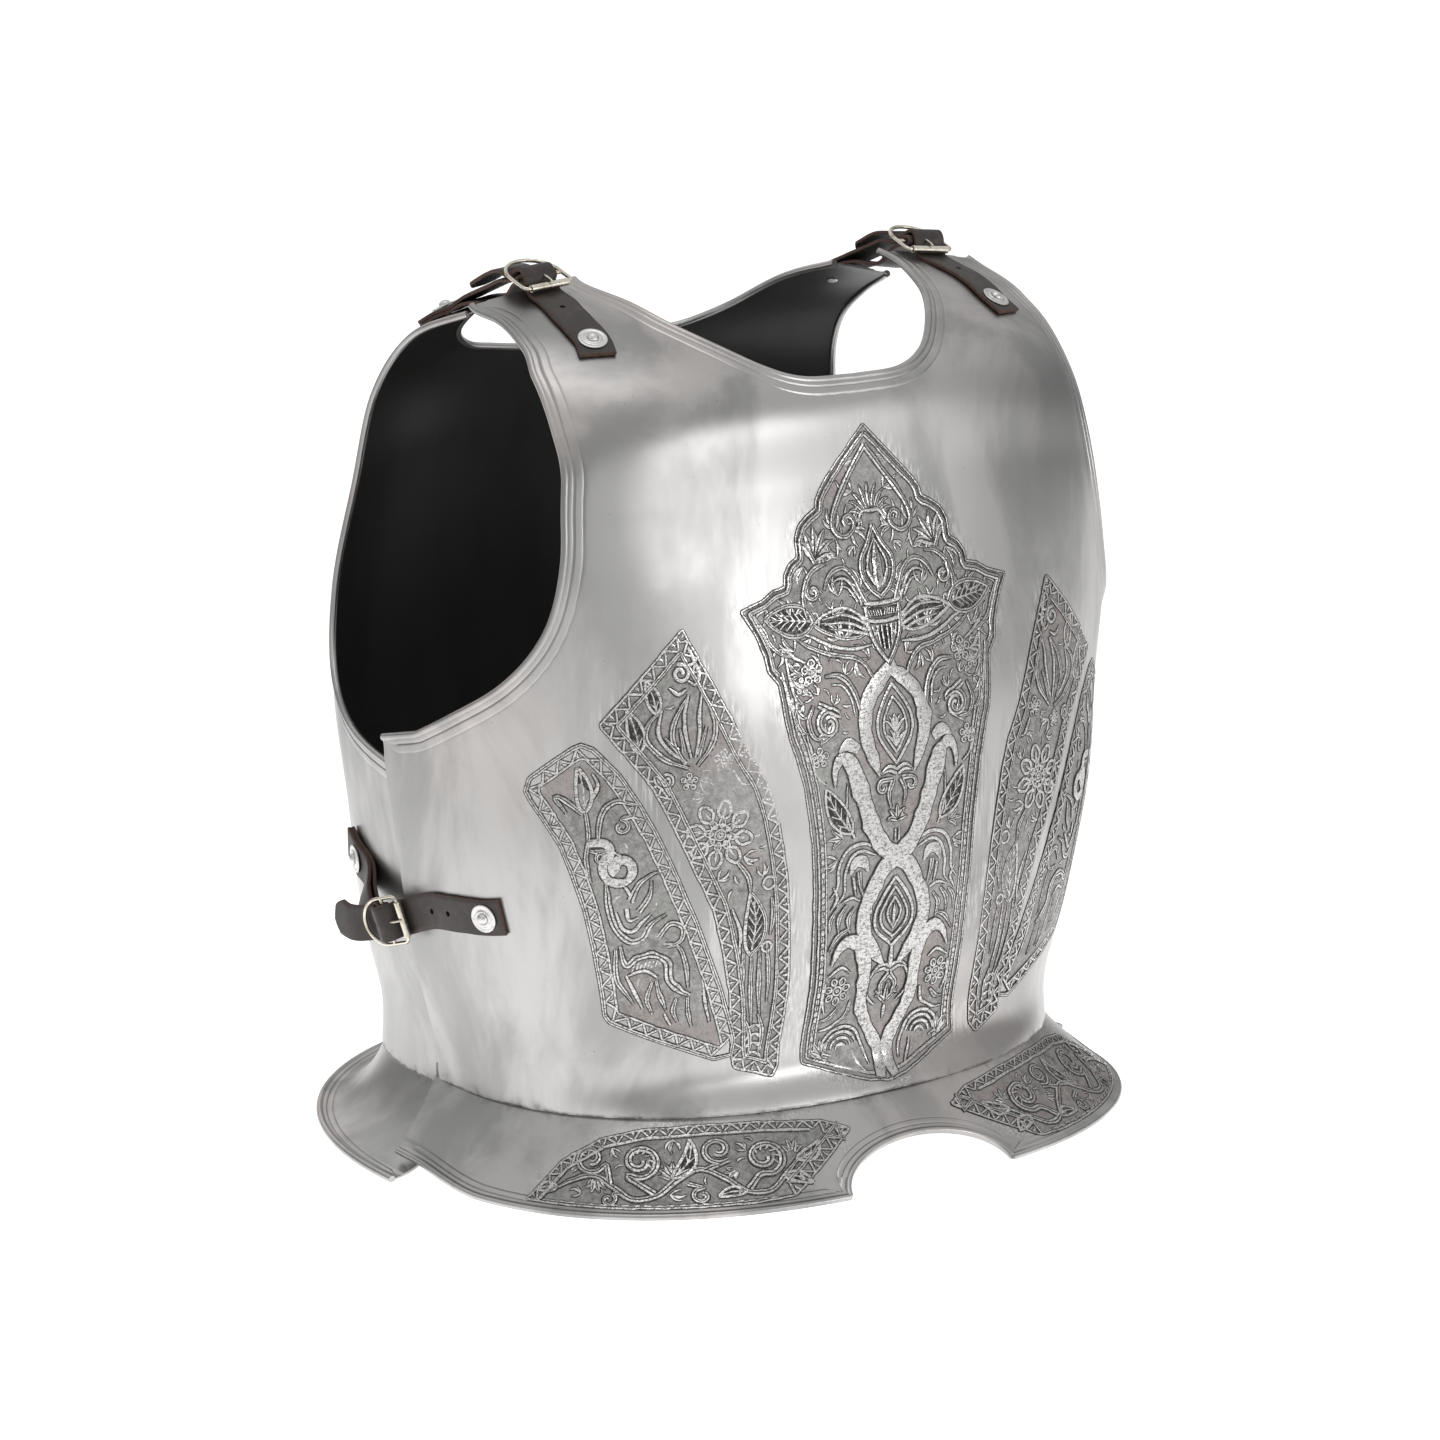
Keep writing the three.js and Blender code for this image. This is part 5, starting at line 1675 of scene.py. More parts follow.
def centre_fields(art: Artwork) -> None:
    """Draw the half of the leaves and small flowers between straps and border."""
    art.line([(40.5, 259), (32.6, 258.8), (26, 253.6), (22, 245), (20.8, 236.6)], (1, 2.6, 2.6, 2.6, 1.4), 2,
             0.7)
    art.line([(37, 254.6), (30.6, 253.4), (26, 247), (24.4, 238)], (0.5, 1.2, 1.2, 0.6), 2, 0.5)
    art.curl((40.6, 235.6), 7.6, 150, -1.25, 3.2, 2, [(46, 246)])
    art.fan((41, 229), 60, 190, 6, 8.5, 2.6, 1)
    art.line([(49, 246), (52.6, 238), (50, 230.4), (44, 227.6)], (0.8, 2.2, 2, 0.8), 2)
    art.rosette((47.2, 219.4), 5, 5, 2)
    art.line([(54, 232), (51.6, 222), (49.6, 211), (44, 205.6)], (0.7, 1.3, 1.3, 0.5), 1)
    art.leaf((28.4, 178.4), (44.2, 203.4), 5.4, -0.05, 4, 1.3, 1)
    art.line([(26.8, 176), (31, 186), (31.6, 196), (31, 205)], (1.2, 0.9, 0.7, 0.4), 1)
    art.fan((34, 176.4), 20, 120, 4, 9.4, 2.2, 1)
    art.line([(12, 168.6), (22, 172.4), (31, 170), (36, 161.6), (36.6, 151.6), (40.6, 146)],
             (0.7, 1.6, 1.6, 1.6, 1.4, 0.5), 2, 0.5)
    art.line([(13.6, 165.4), (22, 168.6), (28.4, 166), (32, 157.6), (32.2, 148), (36, 143)],
             (0.6, 1.5, 1.5, 1.5, 1.3, 0.5), 2, 0.5)
    art.line([(18, 157.6), (21, 163), (26, 163), (29, 157.4)], (1.4, 5.2, 5.2, 1.4), 2, 0.5)
    art.line([(23.6, 158), (22.4, 151), (20.4, 145)], (2.4, 1.8, 0.7), 2)
    art.line([(27, 156), (26, 150), (25, 145.6)], (1.4, 1.2, 0.5), 2)
    art.blades(((22.6, 142.6), (27.8, 144.8), (33.4, 143), 1.5), ((25, 139.6), (29, 134), (27.6, 126), 2.4),
               ((30, 141.6), (34.6, 135), (34.6, 127.4), 2.6), ((35.6, 140.6), (39.6, 135), (40.2, 128),
               2.2), ((28.4, 128.4), (34.6, 125.4), (40, 118), 2.4), ((38.8, 152), (36.6, 146), (39.8, 140),
               1.6))
    art.line([(25.4, 104.6), (31, 108), (38.4, 104)], (0.6, 1.6, 0.6), 1)
    art.rosette((32, 95.6), 7.6, 7, 2)
    art.line([(39.4, 101), (40.4, 92), (38, 84)], (0.7, 1.6, 0.6), 2)
    art.blades(((22.6, 89), (24.8, 81), (31, 76.4), 1.9), ((30, 86), (34.6, 81), (39.8, 80), 2.2),
               ((27, 79.6), (33.6, 75.4), (40, 74.6), 1.6))
    for radius in (3.2, 6.4, 9.6, 12.4):
        arc = (25.6, 62.4) + heading(np.linspace(165, 5, 7)) * radius
        art.line(arc, (0.7, 1.4, 1.4, 1.4, 0.7), 2)
    art.fan((37.4, 60.6), 70, 100, 4, 10.4, 2.2, 2)
    art.line([(9.4, 52.6), (12.4, 62), (17, 70.6)], (0.6, 1.3, 0.6), 2)
    art.line([(12.6, 49.6), (17, 56), (18.6, 61)], (0.6, 1.5, 0.6), 2)
    art.fill(np.vstack([BreastPanels.centre, BreastPanels.centre[1:-1][::-1] * [0.001, 1]]), 7, 21)


def inner_panel(art: Artwork) -> None:
    """Draw the panel beside the centre, on the wearer's left."""
    art.border(BreastPanels.inner[::-1], 5.2, 9.4, 7.0)
    art.curl((120, 268.6), 5, 70, 1.35, 1.6, 2, [(114.6, 281), (112.6, 273)])
    art.line([(113.4, 277), (110.4, 268), (112.6, 262.6), (116.6, 265)], (1.2, 1.7, 1.6, 0.7), 2)
    art.line([(126.4, 262), (122, 258.4), (117.4, 260.6)], (0.6, 1.8, 0.6), 2)
    art.leaf((133.6, 249.6), (138, 266), 3.4, 0.05, 2, 1.3, 1)
    art.leaf((143.4, 230.6), (148.4, 252), 4, 0.05, 2, 1.4, 1)
    art.line([(118.6, 221.6), (130, 226.4), (139.4, 236), (138.2, 244.6), (131, 251.4)],
             (1.2, 2.1, 2.3, 2.1, 0.8), 2)
    art.line([(120, 224.6), (129, 231.6), (133.4, 240), (131, 251.4)], (1, 1.7, 1.7, 0.6), 2)
    art.line([(124, 231), (130.4, 237.4)], (2.2, 0.8), 2)
    art.line([(120.6, 223.6), (126.4, 236), (124.2, 247), (116.6, 258)], (1, 2.1, 2.2, 0.8), 2)
    art.line([(117.4, 226.6), (119.6, 238), (119.6, 248), (116.6, 258)], (0.8, 1.6, 1.6, 0.6), 2)
    art.line([(121, 230), (122.6, 242)], (2, 0.8), 2)
    art.line([(114.6, 222.6), (105.6, 234), (104, 246), (109.4, 260)], (1.2, 2.2, 2.2, 0.8), 2)
    art.line([(115.4, 227), (112.6, 239), (111.6, 250), (109.4, 260)], (0.8, 1.6, 1.6, 0.6), 2)
    art.line([(113.6, 228), (108.6, 242)], (2.2, 0.8), 2)
    art.rosette((118.8, 215), 4.4, 5, 2)
    art.curl((130.6, 216.8), 5.2, 20, -0.85, 2.4, 2, [(129.6, 208.4)])
    art.rosette((100.4, 224.4), 5.4, 5, 2)
    art.line([(96, 219), (91.6, 212), (87.6, 211)], (1, 1.6, 0.6), 2)
    art.rosette((103.4, 187), 8.6, 8, 3)
    art.rosette((103.4, 187), 17.4, 8, 2)
    art.line([(94, 172), (88, 164), (86.6, 156)], (1.2, 2.6, 0.8), 2)
    art.leaf((84.6, 122.6), (86.4, 155.4), 5.6, 0.08, 5, 1.6, 1)
    art.line([(96, 148), (91, 136), (90.6, 124)], (0.8, 1.8, 0.8), 2)
    art.blades(((88.4, 124), (87.4, 104), (83, 88), 2.2), ((84, 122), (82.6, 102), (79.4, 84), 2),
               ((79.6, 124), (78.4, 104), (75.6, 88), 2.2), ((76, 128), (73.6, 110), (73, 96), 1.8),
               ((84, 88), (79.4, 78), (79, 66.6), 2.2), ((76.4, 90), (73, 78), (74, 66), 2), ((74.6, 152),
               (73.4, 142), (74.6, 132), 2.4))
    art.ring((76.6, 159.6), 3.2, 1.2, 2)
    art.ring((76, 126), 2.6, 1.1, 2)
    for k in range(4):
        art.blade((77, 84 - 5 * k), (81.6, 79 - 4.6 * k), 0.2, 1.7, 2)
        art.blade((77, 84 - 5 * k), (72.4, 79 - 4.6 * k), -0.2, 1.7, 2)
    art.fill(BreastPanels.inner, 8, 22)


def outer_panel(art: Artwork) -> None:
    """Draw the panel towards the flank, on the wearer's left."""
    art.border(BreastPanels.outer[::-1], 5, 9, 6.6)
    first = len(art.strokes)
    art.leaf((177.6, 205.6), (180.4, 230), 4.2, 0.06, 2, 1.6, 1)
    art.line([(178.4, 205), (188, 212.6), (193, 213.6), (187, 205)], (1.4, 2.4, 1.8, 0.6), 2)
    art.line([(175.4, 210), (170, 220), (172.6, 227)], (1, 1.8, 0.6), 2)
    art.line([(177, 207), (175.4, 192), (176.8, 178), (173.6, 166)], (1.2, 1.8, 1.8, 0.8), 2)
    art.line([(170.4, 189), (168.6, 204), (161.4, 211.6), (150.6, 209.6)], (1.2, 2.4, 2.4, 0.9), 2)
    art.curl((158, 197.4), 4.6, 90, 0.9, 1.8, 2, [(151.6, 203.6)])
    art.curl((158.4, 173.8), 10.4, 60, -1.3, 4.2, 3, [(176, 188.4), (167, 188.4)])
    art.line([(172, 184.6), (163, 184), (154.4, 178)], (0.6, 1.4, 0.5), 4, 0.4)
    art.curl((168.6, 179.6), 4.2, 150, -0.9, 1.5, 2, [(174.6, 184)])
    art.line([(166, 166.6), (163.8, 152), (159.4, 141.4), (152, 134.6), (145, 136), (140.6, 143.6),
             (132.6, 148.4)], (1, 2.7, 2.9, 2.9, 2.8, 2.5, 0.8), 2)
    art.line([(160, 150), (156, 141.6), (150.4, 139.6), (145.4, 144.6), (141, 149)],
             (0.8, 1.5, 1.6, 1.5, 0.6), 2)
    art.line([(158, 166), (153.4, 160.6), (151, 155)], (0.8, 1.8, 1.2), 2)
    art.line([(152.4, 156), (148.4, 165), (140.6, 170.6), (136.4, 171)], (2.8, 2.4, 1.6, 0.5), 2)
    art.line([(147.6, 150), (142.6, 158), (141.6, 167)], (2.2, 2, 0.6), 2)
    art.line([(154.4, 152), (152.6, 145.6), (148, 147)], (1.8, 1.8, 0.6), 2)
    art.line([(136.4, 136), (130.6, 143), (123.6, 140.6), (124, 133.6), (131, 130.6)], (2.2, 2.4, 2, 2, 0.7),
             2)
    art.line([(133.6, 132.6), (125.4, 131), (120.6, 122), (117.6, 108)], (0.8, 1.6, 1.8, 0.7), 2)
    art.line([(156.6, 132), (152.4, 121.4), (147, 125.4), (138, 127), (130.6, 122.6), (128.4, 113),
             (122, 107), (116.4, 104)], (1, 2.4, 3, 3.2, 3.2, 3.6, 3.6, 1.4), 3)
    art.line([(151, 116), (142.4, 118.6), (135, 114.6)], (0.8, 1.8, 0.8), 3)
    for k in range(8):
        art.line([(149 - 2 * k, 117.6 + 0.5 * k), (147.8 - 2 * k, 122.6 + 0.2 * k)], 0.8, 2, 0.4)
    art.blades(((158.8, 130), (156.6, 114), (146.4, 100.6), 2.8), ((152, 116), (146, 106), (141.4, 98), 2),
               ((137.6, 112), (139.4, 103), (135.6, 94.6), 2.4), ((135.6, 113), (132.4, 104), (128, 96),
               2.4), ((123.6, 103), (124.4, 96), (121, 89.4), 2.2), ((117.4, 103), (115.6, 94), (112.6, 86),
               2.4), ((129, 94.6), (126.4, 90.6), (124.6, 88), 1.4), tip=0.6)
    art.line([(110, 112), (107.4, 100), (103, 88)], (0.6, 1.4, 0.6), 1)
    for stroke in art.strokes[first:]:
        stroke.stops[:, 0] = 94 + (stroke.stops[:, 0] - 94) * 0.925
        stroke.stops[:, 1] -= 6 * smoothstep(150, 235, stroke.stops[:, 1])
    art.fill(BreastPanels.outer, 8.4, 23)


def flange_panel(art: Artwork) -> None:
    """Draw the leafy scrolls of one side of the flange."""
    outline = FlangePanels.outline
    top, end = outline[:8], outline[7:10]
    art.line(looped(inset(outline, 0.5)), 0.9, 2, 0.5, straight=True)
    art.chain(inset(top, 0.6, closed=False), 4.6, 9)
    art.chain(inset(end, 0.8, closed=False), 6.5, 8)
    for rail in (inset(top, 5.6, closed=False)[3:-4], inset(end, 7.8, closed=False)[4:-2]):
        art.line(rail, 1.5, 3, 0.5, straight=True)
    art.line([(183, -47), (170, -38), (158, -34), (148, -40), (139, -46), (128, -44), (119, -36), (108, -30),
             (97, -36), (88, -44), (78, -45), (70, -38), (62, -30), (55, -27)],
             (0.8, 2.2, 2.6, 2.6, 2.8, 2.4, 2.6, 2.2, 1), 2)
    art.curl((161, -24.5), 8.6, 200, 1.2, 2.4, 2, [(150, -38), (152, -30)])
    art.curl((136.5, -25), 10, -60, -1.35, 3, 3, [(129, -43)])
    art.curl((99, -19.5), 8, 230, 1.2, 2.4, 2, [(106, -31), (97, -27)])
    art.curl((77.5, -26), 10.4, -70, -1.3, 3, 3, [(87, -43)])
    art.curl((150, -46.6), 3.8, 120, 1, 1.6, 2, [(143, -43)])
    art.curl((108, -45), 4.6, 100, -1, 1.8, 2, [(114, -38)])
    art.leaf((121, -35), (112, -13), 3.6, 0.16, 3, 1.5, 2)
    art.leaf((88, -44), (101, -46), 2.6, 0.1, 2, 1.2, 2)
    art.leaf((70, -38), (58, -44), 3, -0.1, 3, 1.4, 2)
    art.leaf((176, -42), (186, -45), 2.6, 0.1, 2, 1.2, 2)
    art.leaf((62, -30), (49, -21), 3.4, 0.14, 3, 1.5, 2)
    art.fan((119, -36), 60, 90, 5, 12, 2.6, 1, 0.25)
    art.fan((158, -34), 250, 100, 5, 10, 2.4, 1, 0.25)
    art.fan((64, -27), 100, 90, 4, 10, 2.4, 1, 0.25)
    art.fan((172, -34), 110, 80, 4, 9, 2.2, 1, 0.25)
    art.fan((90, -31), 330, 80, 4, 8, 2, 1, 0.3)
    for turn in 40 + 32 * np.arange(6):
        for centre, reach in (((77.5, -26), 8.4), ((136.5, -25), 8)):
            ends = [centre + heading(turn) * 4, centre + heading(turn + math.degrees(0.3)) * reach]
            art.line(ends, 0.8, 4, 0.3)
    art.beads(np.array([(182, -49.4), (150, -49.6), (110, -49.6), (72, -49)], float), 5, 3, 0.9)
    art.fill(outline, 5, 24)


# ---------------------------------------------------------------- straps, buckles and rivets
STRAP_WIDTH = 19.0
STRAP_THICK = 2.0
STRAP_TIP = 7.0
WIRE = 1.0
BAR = 10.0
CORNER = 2.6
ON = BED + STRAP_THICK / 2
OVER = ON + LAYER
LOW = BED + LAYER
THROUGH = ((0, -3.7), (3.6, -1.9), (6.2, 3), (10, 5.5), (13.6, 4), (16.2, 1.1), (18.6, -1.8),
           (21.5, -2.9), (26, -3))
ENTRY = ((22, -6.6), (18, -4.1), (13.5, 0.2))
WASHER = ((2.1, 0), (7.1, 0), (7.4, 0.15), (7.4, 0.45), (7.15, 0.66), (6.6, 0.72), (6.0, 0.6), (5.4, 0.48),
          (4.9, 0.5), (4.5, 0.72), (4.15, 0.98), (3.7, 1.08), (3.3, 1.0), (2.1, 1.0))
RIVET_TAIL = ((0.3, -1), (2.6, -0.95), (3, -0.6), (3, 0), (1.7, 0))
RIVET_HEAD = ((1.7, 0), (3.0, 0), (3.1, 0.2), (3.02, 0.55), (2.7, 1.05), (2.15, 1.55), (1.4, 1.92),
              (0.7, 2.1), (0.1, 2.15))


@dataclass(frozen=True, eq=False)
class BuckleSeat:
    """Local axes of a buckle: along towards the backplate, out away from the body."""

    half_width: float
    depth: float
    origin: Point
    towards: Point
    outwards: Point

    def axes(self) -> Array:
        """Unit along, across and out as rows."""
        along = unit(np.array(self.towards, float))
        across = unit(np.cross(along, self.outwards))
        return np.stack([along, across, np.cross(across, along)])

    def at(self, spots: Sequence[Point]) -> Array:
        """Carry places given as along, across and out to the body."""
        return np.array(self.origin) + np.asarray(spots, float) @ self.axes()

    def stops(self, across: float, *places: Point) -> list[Seat]:
        """Stops of a strap in the buckle, by along and out."""
        return [Seat(self.at((along, across, rise)), self.axes()[2]) for along, rise in places]


def on_plate(form: PlateForm, lift: float, *places: Point) -> list[Seat]:
    """Stops of a strap over a plate.

    Args:
        form: The plate.
        lift: Height of the strap's middle over it.
        *places: Level and angle of each stop.

    Returns:
        The stops.
    """
    seats = [form.seat(*place) for place in places]
    return [Seat(seat.point + seat.normal * lift, seat.normal) for seat in seats]


def free(out: Point, *places: Point) -> list[Seat]:
    """Stops of a strap in the air, that face one way."""
    return [Seat(np.array(place, float), np.array(out, float)) for place in places]


@dataclass
class Strap:
    """A flat leather strap along stops, with rounded faces and raw cut edges."""

    stops: list[Seat]
    tip: bool
    shapes: int = 9

    def section(self) -> tuple[Array, Array]:
        """Outline of the strap across its width, and how raw each point is.

        Returns:
            Rows of share of half width and height, and rawness.
        """
        half = STRAP_THICK / 2
        across = np.linspace(0.955, -0.955, self.shapes)
        side = [(-0.99, half * 0.7), (-1.0, 0.0), (-0.99, -half * 0.7)]
        top = [(x, half * (0.92 + 0.08 * (1 - x * x))) for x in across]
        low = [(-x, -half) for x in across]
        raw = ([0.45] + [0.0] * (self.shapes - 2) + [0.45] + [1.0] * 3) * 2
        return np.array(top + side + low + [(-x, -z) for x, z in side]), np.array(raw)

    def skin(self) -> Skin:
        """The strap as points and faces."""
        path, at = even_path(np.array([stop.point for stop in self.stops]), 1.0)
        outs = np.array([stop.normal for stop in self.stops])
        k = np.clip(at.astype(int), 0, len(outs) - 2)
        out = outs[k] + (outs[k + 1] - outs[k]) * (at - k)[:, None]
        along = unit(np.gradient(path, axis=0))
        across = unit(np.cross(along, out))
        half = STRAP_WIDTH / 2 * (1 + 0.006 * np.sin(np.arange(len(path)) * 0.45))
        if self.tip:
            left = np.linalg.norm(path - path[-1], axis=1)
            half *= 0.42 + 0.58 * np.clip(left / STRAP_TIP, 0, 1) ** 0.7
        shape, raw = self.section()
        points = path[:, None] + across[:, None] * (half[:, None] * shape[:, 0])[..., None]
        points = points + np.cross(across, along)[:, None] * shape[:, 1:]
        marks = np.tile(raw, (len(path), 1))
        marks[0] = marks[-1] = 1
        skin = Skin()
        skin.add(points, bar_faces(len(path), len(shape)), raw=marks)
        return skin


def punch(piece: bpy.types.Object, cutter: bpy.types.Object) -> None:
    """Cut one object out of another and drop the cutter.

    Args:
        piece: What is cut.
        cutter: The closed body that cuts.
    """
    cut = piece.modifiers.new("holes", "BOOLEAN")
    cut.operation, cut.solver, cut.object = "DIFFERENCE", "EXACT", cutter
    mesh = bpy.data.meshes.new_from_object(piece.evaluated_get(bpy.context.evaluated_depsgraph_get()))
    piece.modifiers.remove(cut)
    piece.data = mesh
    mesh.set_sharp_from_angle(angle=math.radians(40))
    bpy.data.objects.remove(cutter)


@dataclass
class StrapSet:
    """Both straps, the roller buckle and the riveted ends of one place."""

    place: str
    seat: BuckleSeat
    front: list[Seat]
    upper: list[Seat]
    lower: list[Seat]
    holes: list[Seat]
    front_rivet: Seat
    back_rivet: Seat

    def folded(self) -> list[Seat]:
        """Stops of the back strap: to the buckle's bar, round it and back under itself."""
        along, _, out = self.seat.axes()
        fold = [
            Seat(self.seat.at((BAR + 2.4 * x, 0, 2.4 * z)), out * z + along * x)
            for x, z in heading(np.arange(90, 271, 30))
        ]
        return self.upper + fold + [Seat(stop.point, -stop.normal) for stop in self.lower]

    def frame(self) -> Skin:
        """The D-shaped wire frame with its bar."""
        half, depth = self.seat.half_width, self.seat.depth
        sides, front = np.linspace(CORNER, depth - half, 8)[1:-1], np.linspace(0, half - CORNER, 14)
        corner = (CORNER, half - CORNER) + CORNER * heading(np.linspace(180, 90, 10))
        bow = (depth - half, 0) + half * heading(np.linspace(90, -90, 60))
        line = [(0, y) for y in front[:-1]] + [*corner] + [(x, half) for x in sides] + [*bow]
        line += [(x, -half) for x in sides[::-1]] + [*(corner[::-1] * [1, -1])]
        line += [(0, -y) for y in front[-2:0:-1]]
        skin = Skin()
        skin.tube(self.seat.at([(x, y, 0) for x, y in line]), WIRE, 14, closed=True)
        skin.tube(self.seat.at([(BAR, y, 0) for y in np.linspace(-half, half, 25)]), WIRE * 0.97, 14)
        return skin

    def roller(self) -> Skin:
        """The roller: sheet bent round the frame's straight side, with an open seam."""
        length = self.seat.half_width - CORNER - 0.4
        turns = heading(np.linspace(-164, 182, 40))
        ring = np.vstack([2.0 * turns, 1.38 * turns[::-1]])
        stations = [(-1.0, 0.955), (-0.985, 0.99), *((t, 1.0) for t in np.linspace(-0.95, 0.95, 9)),
                    (0.985, 0.99), (1.0, 0.955)]
        spots = [(x * size, share * length, z * size) for share, size in stations for x, z in ring]
        skin = Skin()
        skin.add(self.seat.at(spots), bar_faces(len(stations), len(ring)))
        return skin

    def prong(self) -> Skin:
        """The prong: looped round the bar and resting on the roller."""
        spots = [(BAR + 2.1 * x, 0, 2.1 * z) for x, z in heading(np.arange(-160, 91, 15))]
        spots += [(BAR * 0.72, 0, 2.75), (BAR / 2, 0, 2.9), (2.4, 0, 3.1), (0.2, 0, 3.15), (-1.9, 0, 2.95)]
        path, _ = even_path(self.seat.at(spots), 0.5)
        left = np.linalg.norm(path - path[-1], axis=1)
        radii = 0.8 * (0.55 + 0.45 * np.clip(left / 5, 0, 1)) * np.sqrt(np.clip(left / 0.8 + 0.1, 0, 1))
        skin = Skin()
        skin.tube(path, radii, 12)
        return skin

    def hole_cutter(self) -> Skin:
        """Round punches for the strap's holes, on the plate and inside the frame's bow."""
        skin = Skin()
        for seat in self.holes + self.seat.stops(0, (15.2, 0), (19.4, 0)):
            skin.lathe([(1.5, -5.0), (1.5, 8.0)], seat, 20)
        skin.marks = {"raw": [np.ones(skin.count)]}
        return skin

    def slot_cutter(self) -> Skin:
        """The slot of the folded strap, where the prong swings."""
        skin = Skin()
        corners = [(BAR + x, y, z) for x in (-4.5, 4.5) for y in (-1.35, 1.35) for z in (-4, 4)]
        faces = [[0, 1, 3, 2], [4, 6, 7, 5], [0, 4, 5, 1], [2, 3, 7, 6], [0, 2, 6, 4], [1, 5, 7, 3]]
        skin.add(self.seat.at(corners), faces, raw=np.ones(8))
        return skin

    @staticmethod
    def turned(seat: Seat, sides: int, *runs: tuple[float, Sequence[Point]]) -> Skin:
        """A turned part on a seat.

        Args:
            seat: Where it stands.
            sides: Faces round it.
            *runs: Height over the seat and profile of each run of its outline.

        Returns:
            The part.
        """
        skin = Skin()
        skin.lathe([(radius, low + height) for low, stops in runs for radius, height in stops], seat, sides)
        return skin

    def build(self) -> None:
        """Build the set on both sides of the body."""
        parts = {
            "front_strap": (Strap(self.front, True).skin(), LEATHER, self.hole_cutter()),
            "back_strap": (Strap(self.folded(), False).skin(), LEATHER, self.slot_cutter()),
            "buckle_frame": (self.frame(), NICKEL, None),
            "buckle_roller": (self.roller(), NICKEL, None),
            "buckle_prong": (self.prong(), NICKEL, None),
        }
        for end, seat, low in (("front", self.front_rivet, LOW), ("back", self.back_rivet, LOW + LAYER)):
            rivet = self.turned(seat, 32, (-PLATE - 0.3, RIVET_TAIL), (low + 1.05, RIVET_HEAD))
            parts[f"{end}_washer"] = (self.turned(seat, 40, (low, WASHER)), RIVETS, None)
            parts[f"{end}_rivet"] = (rivet, RIVETS, None)
        for part, (skin, finish, cutter) in parts.items():
            for side, flip in (("left", False), ("right", True)):
                node = f"{self.place}_{side}_{part}"
                piece = skin.build(f"{node}_detail", [finish], flip=flip)
                if cutter:
                    punch(piece, cutter.build("punch", [finish], flip=flip))
                adopt(piece, finish, node)


def shoulder_set() -> StrapSet:
    """The straps and buckle over a shoulder."""
    seat = BuckleSeat(14.5, 27.5, (121.5, 9.5, 447.7), (0.06, 0.94, 0.34), (0.07, -0.34, 0.94))
    up = (0.15, 0.2, 0.97)
    front = on_plate(BREAST, ON, (7.63, 38.1), (7.81, 37.3), (8.02, 37.5), (8.25, 38), (8.47, 38.6))
    front += seat.stops(2.6, *THROUGH)
    front += free(up, (124.2, 47.5, 451.9), (124.2, 59, 447.2), (124.2, 70, 441.8))
    upper = on_plate(BACK, OVER, (7.95, 41), (8.2, 41), (8.42, 41))
    upper += free(up, (122.5, 72, 437.4), (122.3, 51, 445), (122.3, 40, 448.8)) + seat.stops(0, *ENTRY)
    lower = seat.stops(0, (14, -4.3), (18, -7.4))
    lower += free(up, (122, 34, 443), (122, 40, 437.5), (122, 49, 435.4), (122.5, 60, 435.4),
                  (123, 72, 433.6))
    lower += on_plate(BACK, ON, (8.42, 41), (8.2, 41), (7.95, 41))
    return StrapSet("shoulder", seat, front, upper, lower, [BREAST.seat(8.36, 38.3)],
                    BREAST.seat(7.81, 37.3), BACK.seat(8.2, 41))


def flank_set() -> StrapSet:
    """The straps and buckle on a flank."""
    seat = BuckleSeat(12.3, 25, (201.5, 29.5, 130), (0.28, 0.92, -0.27), (0.935, -0.33, -0.13))
    side = (0.98, 0.1, 0)
    front = on_plate(BREAST, ON, (2.6, 67), (2.57, 71.3), (2.55, 77), (2.53, 82), (2.5, 88))
    front += seat.stops(0, *THROUGH) + free(side, (208.8, 66, 121.6), (208, 82, 123.5))
    upper = on_plate(BACK, OVER, (2.72, 60.5), (2.63, 64.5), (2.55, 68.5))
    upper += free(side, (198.5, 70, 132), (202.6, 58, 124)) + seat.stops(0, *ENTRY)
    lower = seat.stops(0, (14, -4.3), (18, -7.4), (22, -10)) + free(side, (198.6, 58, 124), (194.8, 70, 132))
    lower += on_plate(BACK, ON, (2.55, 68.5), (2.63, 64.5), (2.72, 60.5))
    return StrapSet("side", seat, front, upper, lower, [BREAST.seat(2.53, 82), BREAST.seat(2.5, 88)],
                    BREAST.seat(2.57, 71.3), BACK.seat(2.63, 64.5))


